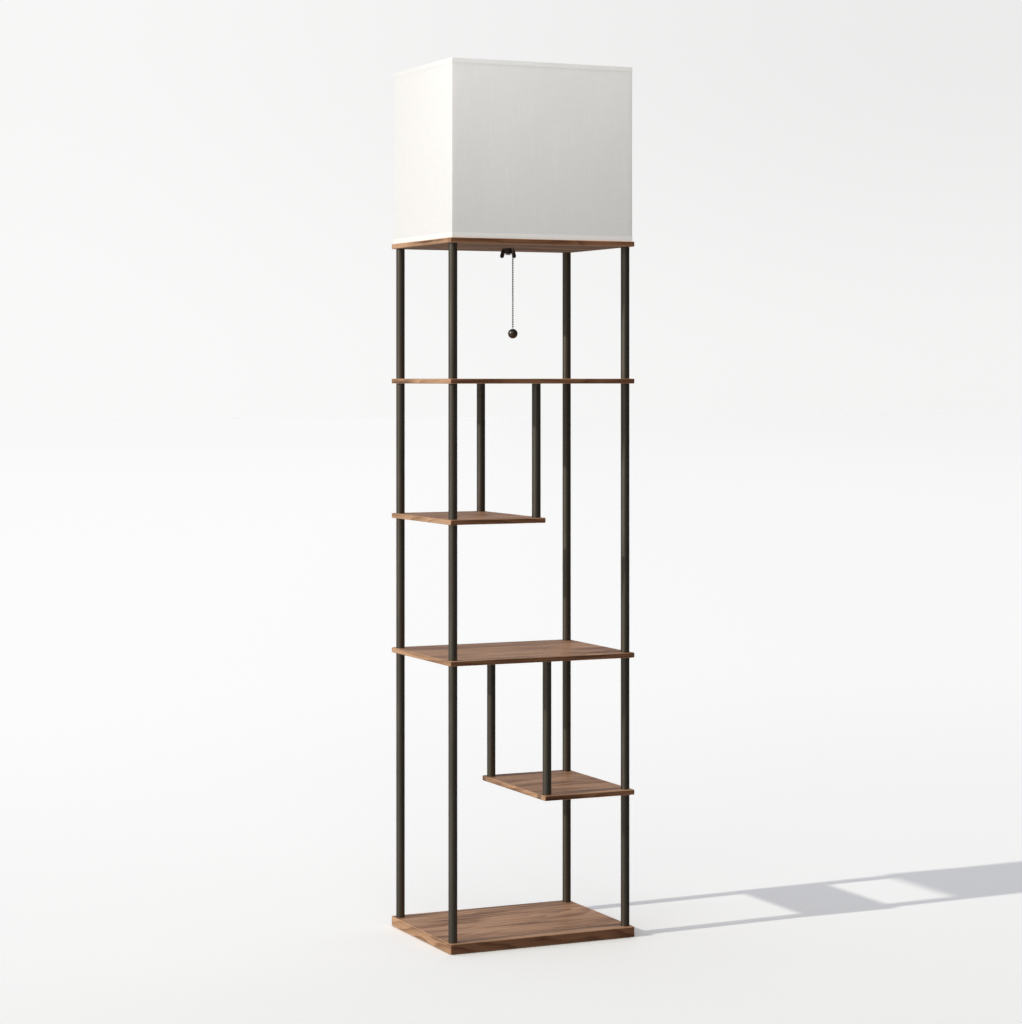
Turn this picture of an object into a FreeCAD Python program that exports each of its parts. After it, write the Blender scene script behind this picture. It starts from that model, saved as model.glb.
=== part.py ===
import FreeCAD, Part
import math
import os

import Sketcher

# Shelf floor lamp: a thin post-and-board tower with a fabric box shade on its top board.
# Millimetres. +Z is up, X runs along the front edge and -Y faces the viewer.
# The origin is on the floor, under the middle of the base board.

DRIVING_SIZES = [
    ("board_width", 370, "full boards, left to right"),
    ("board_depth", 280, "all boards, front to back"),
    ("board_corner", 4, "plan corner radius of a board"),
    ("board_arris", 0.8, "softened long edges of a board"),
    ("base_thickness", 18, "base board"),
    ("shelf_thickness", 9, "shelves and top board"),
    ("left_shelf_width", 189, "upper left half shelf"),
    ("right_shelf_width", 183.5, "lower right half shelf"),
    ("pad_thickness", 1, "felt floor pads"),
    ("pad_side", 20, "square felt pads"),
    ("pad_inset", 34, "pad centre in from the board's edges"),
    ("tube_diameter", 16, "post and hanger tubes"),
    ("tube_wall", 1.2, "wall of the tubes"),
    ("tube_length", 243, "one storage bay"),
    ("post_inset_x", 12, "post axis in from a side edge"),
    ("post_inset_y", 17, "post axis in from the front or back edge"),
    ("bolt_diameter", 6, "long bolts inside the tubes"),
    ("bolt_clearance", 0.2, "radial, bolt in a board's hole"),
    ("bolt_bite", 6, "bolt threaded into the board over its top tube"),
    ("head_diameter", 12, "countersunk heads of the long bolts"),
    ("head_gap", 0.1, "round a head in its countersink"),
    ("thread_gap", 0.05, "radial, a thread in its nut or hole"),
    ("holder_setback", 17, "lamp holder axis behind the middle of the board"),
    ("chain_offset", 21, "chain axis in front of the lamp holder axis"),
    ("nipple_diameter", 10, "threaded lamp pipe"),
    ("nipple_bore", 6.4, "wire way in the lamp pipe"),
    ("nipple_drop", 12.5, "lamp pipe below the top board"),
    ("washer_diameter", 20, "under the wing nut"),
    ("washer_thickness", 1.5, "under the wing nut"),
    ("nut_hub_radius", 6.3, "wing nut, top of its hub"),
    ("nut_hub_height", 8.4, "wing nut"),
    ("nut_taper", 0.5, "radial, hub of the wing nut"),
    ("wing_span", 30, "wing nut, tip to tip"),
    ("wing_drop", 16.9, "wing tips below the nut's seat"),
    ("wing_width", 7.6, "wing nut"),
    ("wing_thickness", 2.8, "wing nut"),
    ("wing_turn", -24.5, "wing nut's rest angle in plan"),
    ("chain_hole", 6, "hole in the top board for the pull chain"),
    ("fitter_diameter", 37, "flat centre of the shade's spider"),
    ("fitter_thickness", 1.6, "flat centre of the shade's spider"),
    ("arm_width", 5, "flat arms of the shade's spider"),
    ("cap_height", 12.8, "moulded foot of the lamp holder"),
    ("cap_boss", 6, "threaded length of the foot on the lamp pipe"),
    ("cap_foot_radius", 11, "lamp holder foot where it meets the spider"),
    ("ledge_height", 10.4, "seat of the shell in the foot"),
    ("ledge_width", 3.2, "seat of the shell in the foot"),
    ("well_radius", 12.7, "hollow of the foot, at its floor"),
    ("cap_lip", 0.9, "wall of the foot round the shell"),
    ("shell_diameter", 35, "lamp holder shell"),
    ("shell_wall", 0.8, "lamp holder shell"),
    ("shell_height", 48, "lamp holder shell"),
    ("sleeve_wall", 0.8, "insulating sleeve in the shell"),
    ("fit_gap", 0.1, "radial, nested holder parts"),
    ("switch_height", 24, "moulded switch base"),
    ("cavity_width", 7.4, "slot in the switch base"),
    ("cavity_floor", 3, "under the slot"),
    ("cavity_roof", 2, "over the slot"),
    ("window_width", 9.4, "in shell and sleeve, for the lever"),
    ("lever_setback", 8, "lever pivot in front of the holder axis"),
    ("lever_rise", 15.2, "lever pivot over the bottom of the switch base"),
    ("lever_thickness", 1.6, "pull lever"),
    ("lever_width", 6, "pull lever"),
    ("lever_fork", 2, "slot at the lever's end, across"),
    ("fork_depth", 4, "slot at the lever's end, along"),
    ("fork_reach", 2, "lever's end beyond the chain"),
    ("pivot_radius", 1.2, "trunnions of lever and rotor"),
    ("pivot_gap", 0.05, "radial, trunnion in the switch base"),
    ("pivot_depth", 2, "trunnion into each side wall"),
    ("coupling_radius", 2.6, "large top bead of the chain"),
    ("coupling_gap", 0.3, "top bead over the lever"),
    ("guide_thickness", 1.2, "brass strip that guides the chain"),
    ("guide_bore", 4.4, "eye of the guide"),
    ("guide_eye", 7.2, "outside of the eye"),
    ("spring_front", 12, "leaf spring's front edge ahead of the holder axis"),
    ("spring_back", 5, "leaf spring's fold ahead of the holder axis"),
    ("spring_leaf", 0.5, "leaf spring's thickness"),
    ("spring_width", 3, "leaf spring"),
    ("rotor_radius", 5.4, "switch rotor"),
    ("rotor_setback", 3, "rotor axis behind the holder axis"),
    ("rotor_room", 0.9, "slot behind the rotor"),
    ("rotor_teeth", 4, "one quarter turn at each pull"),
    ("rotor_root", 0.7, "root of the teeth, as a share of the radius"),
    ("rotor_lead", 20, "degrees from a tooth's tip to its root"),
    ("screw_shell_radius", 13.4, "brass lamp thread, inside"),
    ("screw_shell_wall", 0.5, "brass lamp thread"),
    ("screw_shell_height", 22, "brass lamp thread"),
    ("contact_height", 4, "centre contact over the switch base"),
    ("contact_reach", 7.5, "centre contact, end of its foot to the axis"),
    ("contact_bend", 4, "centre contact, where it leaves its foot"),
    ("contact_lead", 1.4, "centre contact, where its top starts"),
    ("contact_width", 5, "centre contact"),
    ("contact_gap", 1.5, "brass thread round the contact's foot"),
    ("bulb_cap_radius", 12.95, "bulb screw cap"),
    ("bulb_cap_height", 20, "bulb screw cap"),
    ("bulb_tip_radius", 4.6, "bulb centre contact"),
    ("bulb_tip_height", 1.4, "bulb centre contact"),
    ("bulb_insulator", 3, "black cone between tip and cap"),
    ("bulb_radius", 30, "bulb globe"),
    ("bulb_neck", 12, "straight neck of the bulb's housing"),
    ("bulb_globe_rise", 46, "globe centre over the screw cap"),
    ("bulb_shoulder", 12, "degrees, rim of the housing below the globe's equator"),
    ("seat_gap", 0.3, "between pieces of different bodies"),
    ("bead_diameter", 3.2, "pull chain beads"),
    ("bead_pitch", 4.17, "pull chain, bead to bead"),
    ("link_diameter", 1.1, "pull chain wire between beads"),
    ("swing_drop", 4.5, "first free bead below the top board"),
    ("hanging_beads", 34, "beads that swing with the ball"),
    ("ball_diameter", 18, "pull ball"),
    ("chain_bite", 4, "chain end inside the ball"),
    ("bush_diameter", 9, "cord bush through the top board"),
    ("bush_bore", 6.5, "cord bush"),
    ("bush_flange", 14, "cord bush, on top of the board"),
    ("bush_flange_height", 1.5, "cord bush"),
    ("bush_setback", 95, "cord bush behind the middle of the board"),
    ("shade_inset_x", 4, "fabric shade in from the board's side edges"),
    ("shade_inset_y", 3, "fabric shade in from the board's front and back edges"),
    ("shade_height", 321, "fabric shade"),
    ("shade_corner", 1.2, "fold radius at the shade's corners"),
    ("fabric_thickness", 0.6, "shade cover"),
    ("liner_thickness", 1, "stiff shade liner"),
    ("tape_width", 9, "hem tape, outside"),
    ("tape_turn", 5, "top hem tape, turned down inside the ring"),
    ("tape_thickness", 0.4, "hem tape"),
    ("wire_diameter", 3, "shade rings and spider arms"),
    ("wire_gap", 0.05, "ring inside the liner"),
]

SHEET_NAME = "Sizes"
doc = FreeCAD.newDocument("ShelfFloorLamp")
sheet = doc.addObject("Spreadsheet::Sheet", SHEET_NAME)
for row, (alias, value, note) in enumerate(DRIVING_SIZES, start=1):
    sheet.set(f"A{row}", alias)
    sheet.set(f"B{row}", str(value))
    sheet.set(f"C{row}", note)
    sheet.setAlias(f"B{row}", alias)
doc.recompute()

ALIASES = {alias for alias, value, note in DRIVING_SIZES}
parts = []


def formula(text):
    """Turns a formula in plain size names into one that reads the spreadsheet."""
    words = []
    word = ""
    for letter in str(text) + " ":
        if letter.isalnum() or letter == "_":
            word += letter
            continue
        words.append(f"{SHEET_NAME}.{word}" if word in ALIASES else word)
        words.append(letter)
        word = ""
    return "".join(words).strip()


def number(text):
    """The present value of a formula, in millimetres or degrees."""
    return float(sheet.evalExpression(formula(text)))


# Places that several pieces share, as formulas in the sizes above.
POST_X = "(board_width / 2 - post_inset_x)"
POST_Y = "(board_depth / 2 - post_inset_y)"
BASE_TOP = "(pad_thickness + base_thickness)"
PITCH = "(tube_length + shelf_thickness)"


def bay_floor(bay):
    """Height of the board face that the tubes of a bay stand on; bay 0 is the lowest."""
    return f"({BASE_TOP} + {bay} * {PITCH})"


def bay_roof(bay):
    """Height of the board face that the tubes of a bay carry."""
    return f"({bay_floor(bay)} + tube_length)"


RIGHT_SHELF_END = "(board_width / 2 - right_shelf_width)"
LEFT_SHELF_END = "(left_shelf_width - board_width / 2)"
LOWER_HANGER_X = f"({RIGHT_SHELF_END} + post_inset_x)"
UPPER_HANGER_X = f"({LEFT_SHELF_END} - post_inset_x)"
TOP_UNDERSIDE = bay_roof(4)
TOP_FACE = f"({TOP_UNDERSIDE} + shelf_thickness)"
BOLT_HOLE = "(bolt_diameter / 2 + bolt_clearance)"
CHAIN_Y = "(holder_setback - chain_offset)"


def add_body(label, x="0", y="0", z="0", turn="0", alone=True):
    """A body named after its piece, placed in the lamp's frame; not alone, it joins a group."""
    body = doc.addObject("PartDesign::Body", label)
    body.Label = label
    for axis, place in zip("xyz", (x, y, z)):
        body.setExpression(f"Placement.Base.{axis}", formula(place))
    body.setExpression("Placement.Rotation.Angle", formula(turn))
    if alone:
        parts.append(body)
    return body


def add_group(label, members):
    """Like pieces that share one name, each still a separate solid."""
    group = doc.addObject("Part::Compound", label)
    group.Label = label
    group.Links = members
    parts.append(group)


def add_sketch(body, plane="XY", height="0"):
    """An empty sketch on one of the body's own origin planes, lifted along its normal."""
    sketch = body.newObject("Sketcher::SketchObject", "Sketch")
    for feature in body.Origin.OriginFeatures:
        if feature.Role == plane + "_Plane":
            sketch.AttachmentSupport = [(feature, "")]
    sketch.MapMode = "FlatFace"
    sketch.setExpression("AttachmentOffset.Base.z", formula(height))
    return sketch


def bind(sketch, kind, *what):
    """Adds a dimension whose value, the last item, is a formula."""
    rule = what[-1]
    index = sketch.addConstraint(Sketcher.Constraint(kind, *what[:-1], number(rule)))
    sketch.setExpression(f"Constraints[{index}]", formula(rule))


def place_point(sketch, edge, end, x, y):
    """Ties one point of an edge to the sketch's origin."""
    bind(sketch, "DistanceX", -1, 1, edge, end, x)
    bind(sketch, "DistanceY", -1, 1, edge, end, y)


def draw_circle(sketch, radius, x="0", y="0"):
    centre = FreeCAD.Vector(number(x), number(y), 0)
    edge = sketch.addGeometry(Part.Circle(centre, FreeCAD.Vector(0, 0, 1), number(radius)))
    bind(sketch, "Radius", edge, radius)
    place_point(sketch, edge, 3, x, y)


def draw_outline(sketch, corners):
    """A closed outline through its corners.

    A corner is (x, y), or (x, y, radius) where the edge that leaves it is an arc:
    a positive radius turns left and a negative one turns right.
    """
    edges = []
    for index, corner in enumerate(corners):
        following = corners[(index + 1) % len(corners)]
        start = FreeCAD.Vector(number(corner[0]), number(corner[1]), 0)
        finish = FreeCAD.Vector(number(following[0]), number(following[1]), 0)
        if len(corner) == 2:
            edges.append((sketch.addGeometry(Part.LineSegment(start, finish)), 1, 2))
            continue
        radius = number(corner[2])
        chord = finish - start
        side = math.copysign(1, radius)
        rise = math.sqrt(max(radius**2 - chord.Length**2 / 4, 0))
        normal = FreeCAD.Vector(-chord.y, chord.x, 0).normalize()
        centre = (start + finish) / 2 + normal * rise * side
        circle = Part.Circle(centre, FreeCAD.Vector(0, 0, 1), abs(radius))
        angles = [math.atan2(end.y - centre.y, end.x - centre.x) for end in (start, finish)]
        if side < 0:
            angles.reverse()
        arc = sketch.addGeometry(Part.ArcOfCircle(circle, *angles))
        edges.append((arc, 1, 2) if side > 0 else (arc, 2, 1))
    for index, (edge, first, last) in enumerate(edges):
        after, after_first, after_last = edges[(index + 1) % len(edges)]
        sketch.addConstraint(Sketcher.Constraint("Coincident", edge, last, after, after_first))
        place_point(sketch, edge, first, corners[index][0], corners[index][1])
        if len(corners[index]) == 3:
            bind(sketch, "Radius", edge, corners[index][2].lstrip("-"))


def draw_rectangle(sketch, left, right, front, back):
    draw_outline(sketch, [(left, front), (right, front), (right, back), (left, back)])


def draw_rounded_rectangle(sketch, left, right, front, back, radius):
    """A rectangle whose corners are quarter circles."""
    draw_outline(
        sketch,
        [
            (f"{left} + {radius}", front),
            (f"{right} - {radius}", front, radius),
            (right, f"{front} + {radius}"),
            (right, f"{back} - {radius}", radius),
            (f"{right} - {radius}", back),
            (f"{left} + {radius}", back, radius),
            (left, f"{back} - {radius}"),
            (left, f"{front} + {radius}", radius),
        ],
    )


def pad(body, sketch, length, reverse=False, symmetric=False):
    feature = body.newObject("PartDesign::Pad", "Pad")
    feature.Profile = sketch
    feature.setExpression("Length", formula(length))
    feature.Reversed = reverse
    feature.SideType = "Symmetric" if symmetric else "One side"
    sketch.Visibility = False
    return feature


def cut_through(body, sketch):
    """Cuts a sketch right through the body, both ways from its plane."""
    feature = body.newObject("PartDesign::Pocket", "Cut")
    feature.Profile = sketch
    feature.Type = "ThroughAll"
    feature.SideType = "Symmetric"
    return feature


def cut_depth(body, sketch, depth, reverse=False):
    """Cuts a sketch to a depth; reverse cuts along the sketch's normal."""
    feature = body.newObject("PartDesign::Pocket", "Cut")
    feature.Profile = sketch
    feature.setExpression("Length", formula(depth))
    feature.Reversed = reverse
    return feature


def turn_profile(body, corners):
    """Turns an outline of (radius, height) corners about the body's upright axis."""
    sketch = add_sketch(body, "XZ")
    draw_outline(sketch, corners)
    feature = body.newObject("PartDesign::Revolution", "Turned")
    feature.Profile = sketch
    feature.ReferenceAxis = (sketch, ["V_Axis"])
    feature.Angle = 360
    return feature


def repeat_in_grid(body, feature, steps):
    """Repeats a feature once along each (axis, distance) of steps, as separate solids."""
    body.AllowCompound = True
    transform = body.newObject("PartDesign::MultiTransform", "Grid")
    transform.Originals = [feature]
    rows = []
    for axis, distance in steps:
        line = body.newObject("PartDesign::LinearPattern", "Row")
        for origin_line in body.Origin.OriginFeatures:
            if origin_line.Role == axis + "_Axis":
                line.Direction = (origin_line, [""])
        line.setExpression("Length", formula(distance))
        line.Occurrences = 2
        rows.append(line)
    transform.Transformations = rows
    body.Tip = transform
    return transform


# ---------------------------------------------------------------- boards


def add_board(label, left, right, underside, thickness, plain=(), sunk=(), blind=()):
    """A veneered board with rounded plan corners and softened edges, drilled for the bolts.

    Plain holes go through, sunk ones take a bolt's head from below, and blind ones are tapped
    from below for a bolt's end.
    """
    body = add_body(label, z=underside)
    outline = add_sketch(body)
    front, back = "-board_depth / 2", "board_depth / 2"
    draw_rounded_rectangle(outline, left, right, front, back, "board_corner")
    slab = pad(body, outline, thickness)
    doc.recompute()
    rims = []
    for index, edge in enumerate(slab.Shape.Edges, start=1):
        if edge.BoundBox.ZLength < number("board_arris"):
            rims.append(f"Edge{index}")
    arris = body.newObject("PartDesign::Chamfer", "Arris")
    arris.Base = (slab, rims)
    arris.setExpression("Size", formula("board_arris"))
    if plain:
        holes = add_sketch(body)
        for x, y in plain:
            draw_circle(holes, BOLT_HOLE, x, y)
        cut_through(body, holes)
    if blind:
        holes = add_sketch(body)
        for x, y in blind:
            draw_circle(holes, "bolt_diameter / 2 + thread_gap", x, y)
        cut_depth(body, holes, "bolt_bite + head_gap", reverse=True)
    if sunk:
        holes = add_sketch(body)
        for x, y in sunk:
            draw_circle(holes, BOLT_HOLE, x, y)
        doc.recompute()
        hole = body.newObject("PartDesign::Hole", "SunkHole")
        hole.Profile = holes
        doc.recompute()
        hole.Threaded = False
        hole.setExpression("Diameter", formula(f"2 * {BOLT_HOLE}"))
        hole.DepthType = "ThroughAll"
        hole.HoleCutType = "Countersink"
        hole.setExpression("HoleCutDiameter", formula("head_diameter + 2 * head_gap"))
        hole.HoleCutCountersinkAngle = 90
        hole.Reversed = True
    return body


def pair(x):
    """Front and back places at one distance across the lamp."""
    return [(x, "-" + POST_Y), (x, POST_Y)]


LEFT_EDGE = "-board_width / 2"
RIGHT_EDGE = "board_width / 2"
left_posts = pair("-" + POST_X)
right_posts = pair(POST_X)
lower_hangers = pair(LOWER_HANGER_X)
upper_hangers = pair(UPPER_HANGER_X)
corner_posts = left_posts + right_posts

add_board("base_board", LEFT_EDGE, RIGHT_EDGE, "pad_thickness", "base_thickness",
          sunk=corner_posts)
add_board("lower_right_shelf", RIGHT_SHELF_END, RIGHT_EDGE, bay_roof(0), "shelf_thickness",
          plain=right_posts, sunk=lower_hangers)
add_board("middle_shelf", LEFT_EDGE, RIGHT_EDGE, bay_roof(1), "shelf_thickness",
          plain=corner_posts, blind=lower_hangers)
add_board("upper_left_shelf", LEFT_EDGE, LEFT_SHELF_END, bay_roof(2), "shelf_thickness",
          plain=left_posts, sunk=upper_hangers)
add_board("upper_shelf", LEFT_EDGE, RIGHT_EDGE, bay_roof(3), "shelf_thickness",
          plain=corner_posts, blind=upper_hangers)
top_board = add_board("top_board", LEFT_EDGE, RIGHT_EDGE, TOP_UNDERSIDE, "shelf_thickness",
                      blind=corner_posts)
lamp_holes = add_sketch(top_board)
draw_circle(lamp_holes, "nipple_diameter / 2 + thread_gap", "0", "holder_setback")
draw_circle(lamp_holes, "chain_hole / 2", "0", CHAIN_Y)
draw_circle(lamp_holes, "bush_diameter / 2 + thread_gap", "0", "bush_setback")
cut_through(top_board, lamp_holes)


def add_floor_pads():
    """Four square felt pads under the base board, in from its edges and clear of the screws."""
    far_x = "(board_width / 2 - pad_inset)"
    far_y = "(board_depth / 2 - pad_inset)"
    body = add_body("floor_pads", x="-" + far_x, y="-" + far_y)
    sketch = add_sketch(body)
    half = "pad_side / 2"
    draw_rectangle(sketch, "-" + half, half, "-" + half, half)
    felt = pad(body, sketch, "pad_thickness")
    repeat_in_grid(body, felt, [("X", f"2 * {far_x}"), ("Y", f"2 * {far_y}")])


add_floor_pads()

# ---------------------------------------------------------------- tubes and bolts


def add_tube(label, x, y, foot, length):
    """A lacquered steel tube, cut square, clamped between two boards by the bolt inside it."""
    body = add_body(label, x, y, foot)
    sketch = add_sketch(body)
    draw_circle(sketch, "tube_diameter / 2")
    draw_circle(sketch, "tube_diameter / 2 - tube_wall")
    pad(body, sketch, length)


LONG_TUBE = "(2 * tube_length + shelf_thickness)"
for depth_name, y in (("front", "-" + POST_Y), ("back", POST_Y)):
    add_tube(f"long_tube_{depth_name}_left", "-" + POST_X, y, bay_floor(0), LONG_TUBE)
    add_tube(f"long_tube_{depth_name}_right", POST_X, y, bay_floor(2), LONG_TUBE)
    for bay in (2, 3, 4):
        add_tube(f"tube_{depth_name}_left_{bay + 1}", "-" + POST_X, y, bay_floor(bay), "tube_length")
    for bay in (0, 1, 4):
        add_tube(f"tube_{depth_name}_right_{bay + 1}", POST_X, y, bay_floor(bay), "tube_length")
    add_tube(f"hanger_{depth_name}_lower", LOWER_HANGER_X, y, bay_floor(1), "tube_length")
    add_tube(f"hanger_{depth_name}_upper", UPPER_HANGER_X, y, bay_floor(3), "tube_length")


ACROSS = ("X", f"2 * {POST_X}")
BACKWARDS = ("Y", f"2 * {POST_Y}")


def add_bolts(label, x, foot, roof, steps, alone=True):
    """Long countersunk bolts, up through the tubes and into the board over the last one."""
    body = add_body(label, x, "-" + POST_Y, f"{foot} + head_gap", alone=alone)
    length = f"({roof} - {foot} + bolt_bite - head_gap)"
    bolt = turn_profile(body, [
        ("0", "0"),
        ("head_diameter / 2", "0"),
        ("bolt_diameter / 2", "(head_diameter - bolt_diameter) / 2"),
        ("bolt_diameter / 2", length),
        ("0", length),
    ])
    repeat_in_grid(body, bolt, steps)
    return body


add_bolts("post_bolts", "-" + POST_X, "pad_thickness", TOP_UNDERSIDE, [ACROSS, BACKWARDS])
add_group("hanger_bolts", [
    add_bolts("lower_bolts", LOWER_HANGER_X, bay_roof(0), bay_roof(1), [BACKWARDS], alone=False),
    add_bolts("upper_bolts", UPPER_HANGER_X, bay_roof(2), bay_roof(3), [BACKWARDS], alone=False),
])

# ---------------------------------------------------------------- lamp holder

HOLDER_Y = "holder_setback"
FOOT_Z = f"({TOP_FACE} + fitter_thickness)"
BASE_Z = f"({FOOT_Z} + ledge_height)"
SHELL_RADIUS = "(shell_diameter / 2)"
SLEEVE_RADIUS = f"({SHELL_RADIUS} - shell_wall - fit_gap)"
SWITCH_RADIUS = f"({SLEEVE_RADIUS} - sleeve_wall - fit_gap)"
PIPE_HOLE = "(nipple_diameter / 2 + thread_gap)"
CAVITY_TOP = "(switch_height - cavity_roof)"
CAVITY_BACK = "(rotor_setback + rotor_radius + rotor_room)"
PIVOT_SPAN = "(cavity_width + 2 * pivot_depth)"
CHAIN_ARM = "(chain_offset - lever_setback)"


def add_turned(label, corners, x="0", y=HOLDER_Y, z="0"):
    """A piece that is all one turned outline."""
    body = add_body(label, x, y, z)
    turn_profile(body, corners)
    return body


def add_ring(label, inner, outer, bottom, height):
    """A plain ring or tube about the lamp holder's axis."""
    corners = [(inner, "0"), (outer, "0"), (outer, height), (inner, height)]
    return add_turned(label, corners, z=bottom)


def cut_window(body, bottom, top, width, back="0"):
    """Opens a body towards the front, from a plane that lies behind its axis."""
    sketch = add_sketch(body, "XZ", height=f"-{back}")
    draw_rectangle(sketch, f"-{width} / 2", f"{width} / 2", bottom, top)
    return cut_depth(body, sketch, f"{back} + shell_diameter", reverse=True)


# The lamp pipe passes the top board, the spider and the foot; the wing nut pulls it down.
add_ring("lamp_pipe", "nipple_bore / 2", "nipple_diameter / 2",
         f"{TOP_UNDERSIDE} - nipple_drop",
         "nipple_drop + shelf_thickness + fitter_thickness + cap_boss")
add_ring("wing_nut_washer", PIPE_HOLE, "washer_diameter / 2",
         f"{TOP_UNDERSIDE} - washer_thickness", "washer_thickness")


def add_wing_nut():
    """A cast wing nut: a tapered hub with two rounded wings that point down and out."""
    body = add_body("wing_nut", "0", HOLDER_Y, f"{TOP_UNDERSIDE} - washer_thickness", "wing_turn")
    corners = [
        (PIPE_HOLE, "0"),
        ("nut_hub_radius", "0"),
        ("nut_hub_radius - nut_taper", "-nut_hub_height"),
        (PIPE_HOLE, "-nut_hub_height"),
    ]
    turn_profile(body, corners)
    half_width = "wing_width / 2"
    root_x = f"({PIPE_HOLE} + {half_width} + fit_gap)"
    root_z = f"(-{half_width} - fit_gap)"
    tip_x = f"(wing_span / 2 - {half_width})"
    tip_z = f"({half_width} - wing_drop)"
    for side in ("", "-"):
        sketch = add_sketch(body, "XZ")
        draw_slot(sketch, f"{side}{root_x}", root_z, f"{side}{tip_x}", tip_z, half_width)
        pad(body, sketch, "wing_thickness", symmetric=True)


def draw_slot(sketch, start_x, start_y, end_x, end_y, radius):
    """Two half circles joined by straight tangent sides."""
    start = FreeCAD.Vector(number(start_x), number(start_y), 0)
    end = FreeCAD.Vector(number(end_x), number(end_y), 0)
    up = FreeCAD.Vector(0, 0, 1)
    side = up.cross(end - start).normalize() * number(radius)
    heading = math.atan2(side.y, side.x)
    near = Part.ArcOfCircle(Part.Circle(start, up, number(radius)), heading, heading + math.pi)
    far = Part.ArcOfCircle(Part.Circle(end, up, number(radius)), heading - math.pi, heading)
    first = sketch.addGeometry(near)
    last = sketch.addGeometry(far)
    left = sketch.addGeometry(Part.LineSegment(end + side, start + side))
    right = sketch.addGeometry(Part.LineSegment(start - side, end - side))
    joints = ((left, 2, first, 1), (first, 2, right, 1), (right, 2, last, 1), (last, 2, left, 1))
    for joint in joints:
        sketch.addConstraint(Sketcher.Constraint("Tangent", *joint))
    place_point(sketch, first, 3, start_x, start_y)
    place_point(sketch, last, 3, end_x, end_y)
    bind(sketch, "Radius", first, radius)


add_wing_nut()

# The moulded foot screws onto the lamp pipe; its ledge carries the shell and what is inside.
LIP_RADIUS = f"({SHELL_RADIUS} + fit_gap)"
add_turned("holder_foot", [
    (PIPE_HOLE, "0"),
    ("cap_foot_radius", "0"),
    (f"{LIP_RADIUS} + cap_lip", "ledge_height"),
    (f"{LIP_RADIUS} + cap_lip", "cap_height"),
    (LIP_RADIUS, "cap_height"),
    (LIP_RADIUS, "ledge_height"),
    (f"{SHELL_RADIUS} - ledge_width", "ledge_height"),
    ("well_radius", "cap_boss"),
    (PIPE_HOLE, "cap_boss"),
], z=FOOT_Z)

WINDOW_BOTTOM = "(cavity_floor - fit_gap)"
WINDOW_TOP = f"({CAVITY_TOP} + fit_gap)"
shell = add_ring("holder_shell", f"{SHELL_RADIUS} - shell_wall", SHELL_RADIUS, BASE_Z,
                 "shell_height")
cut_window(shell, WINDOW_BOTTOM, WINDOW_TOP, "window_width")
sleeve = add_ring("insulating_sleeve", f"{SLEEVE_RADIUS} - sleeve_wall", SLEEVE_RADIUS, BASE_Z,
                  "shell_height - shell_wall")
cut_window(sleeve, WINDOW_BOTTOM, WINDOW_TOP, "window_width")


def add_switch_base():
    """The moulded block in the shell: a slot for the lever and rotor, and their bearings."""
    body = add_body("switch_base", "0", HOLDER_Y, BASE_Z)
    disc = add_sketch(body)
    draw_circle(disc, SWITCH_RADIUS)
    pad(body, disc, "switch_height")
    cut_window(body, "cavity_floor", CAVITY_TOP, "cavity_width", CAVITY_BACK)
    bearings = add_sketch(body, "YZ")
    for place in ("-lever_setback", "rotor_setback"):
        draw_circle(bearings, "pivot_radius + pivot_gap", place, "lever_rise")
    holes = cut_depth(body, bearings, f"{PIVOT_SPAN} + 2 * fit_gap")
    holes.SideType = "Symmetric"


add_switch_base()


def add_pull_lever():
    """The lever that the chain pulls: a forked arm, a short driving arm and two trunnions."""
    body = add_body("pull_lever", "0", f"{HOLDER_Y} - lever_setback", f"{BASE_Z} + lever_rise")
    plate = add_sketch(body)
    half_width = "lever_width / 2"
    fork_end = f"(-{CHAIN_ARM} - fork_reach)"
    drive_end = "(lever_setback + rotor_setback - rotor_radius - 2 * seat_gap)"
    draw_outline(plate, [
        (f"-{half_width}", fork_end),
        ("-lever_fork / 2", fork_end),
        ("-lever_fork / 2", f"{fork_end} + fork_depth"),
        ("lever_fork / 2", f"{fork_end} + fork_depth"),
        ("lever_fork / 2", fork_end),
        (half_width, fork_end),
        (half_width, drive_end),
        (f"-{half_width}", drive_end),
    ])
    pad(body, plate, "lever_thickness", symmetric=True)
    hub = add_sketch(body, "YZ")
    draw_circle(hub, "pivot_radius + lever_thickness / 2")
    pad(body, hub, "lever_width", symmetric=True)
    trunnions = add_sketch(body, "YZ")
    draw_circle(trunnions, "pivot_radius")
    pad(body, trunnions, PIVOT_SPAN, symmetric=True)


def add_rotor():
    """The contact rotor, whose saw teeth are moved on by one at each pull."""
    body = add_body("switch_rotor", "0", f"{HOLDER_Y} + rotor_setback", f"{BASE_Z} + lever_rise")
    wheel = add_sketch(body, "YZ")
    corners = []
    for tooth in range(round(number("rotor_teeth"))):
        tip = f"{tooth} * 360 / rotor_teeth"
        root = f"{tip} + rotor_lead"
        inner = "rotor_radius * rotor_root"
        corners.append((f"rotor_radius * cos({tip})", f"rotor_radius * sin({tip})"))
        corners.append((f"{inner} * cos({root})", f"{inner} * sin({root})"))
    draw_outline(wheel, corners)
    pad(body, wheel, "lever_width", symmetric=True)
    trunnions = add_sketch(body, "YZ")
    draw_circle(trunnions, "pivot_radius")
    pad(body, trunnions, PIVOT_SPAN, symmetric=True)


def add_bent_strip(label, y, z, corners, width):
    """A strip of sheet metal, drawn from the side and padded to its width."""
    body = add_body(label, "0", y, z)
    sketch = add_sketch(body, "YZ")
    draw_outline(sketch, corners)
    pad(body, sketch, width, symmetric=True)
    return body


add_pull_lever()
add_rotor()
GUIDE_TOP = f"({BASE_Z} + cavity_floor + guide_thickness)"


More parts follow.
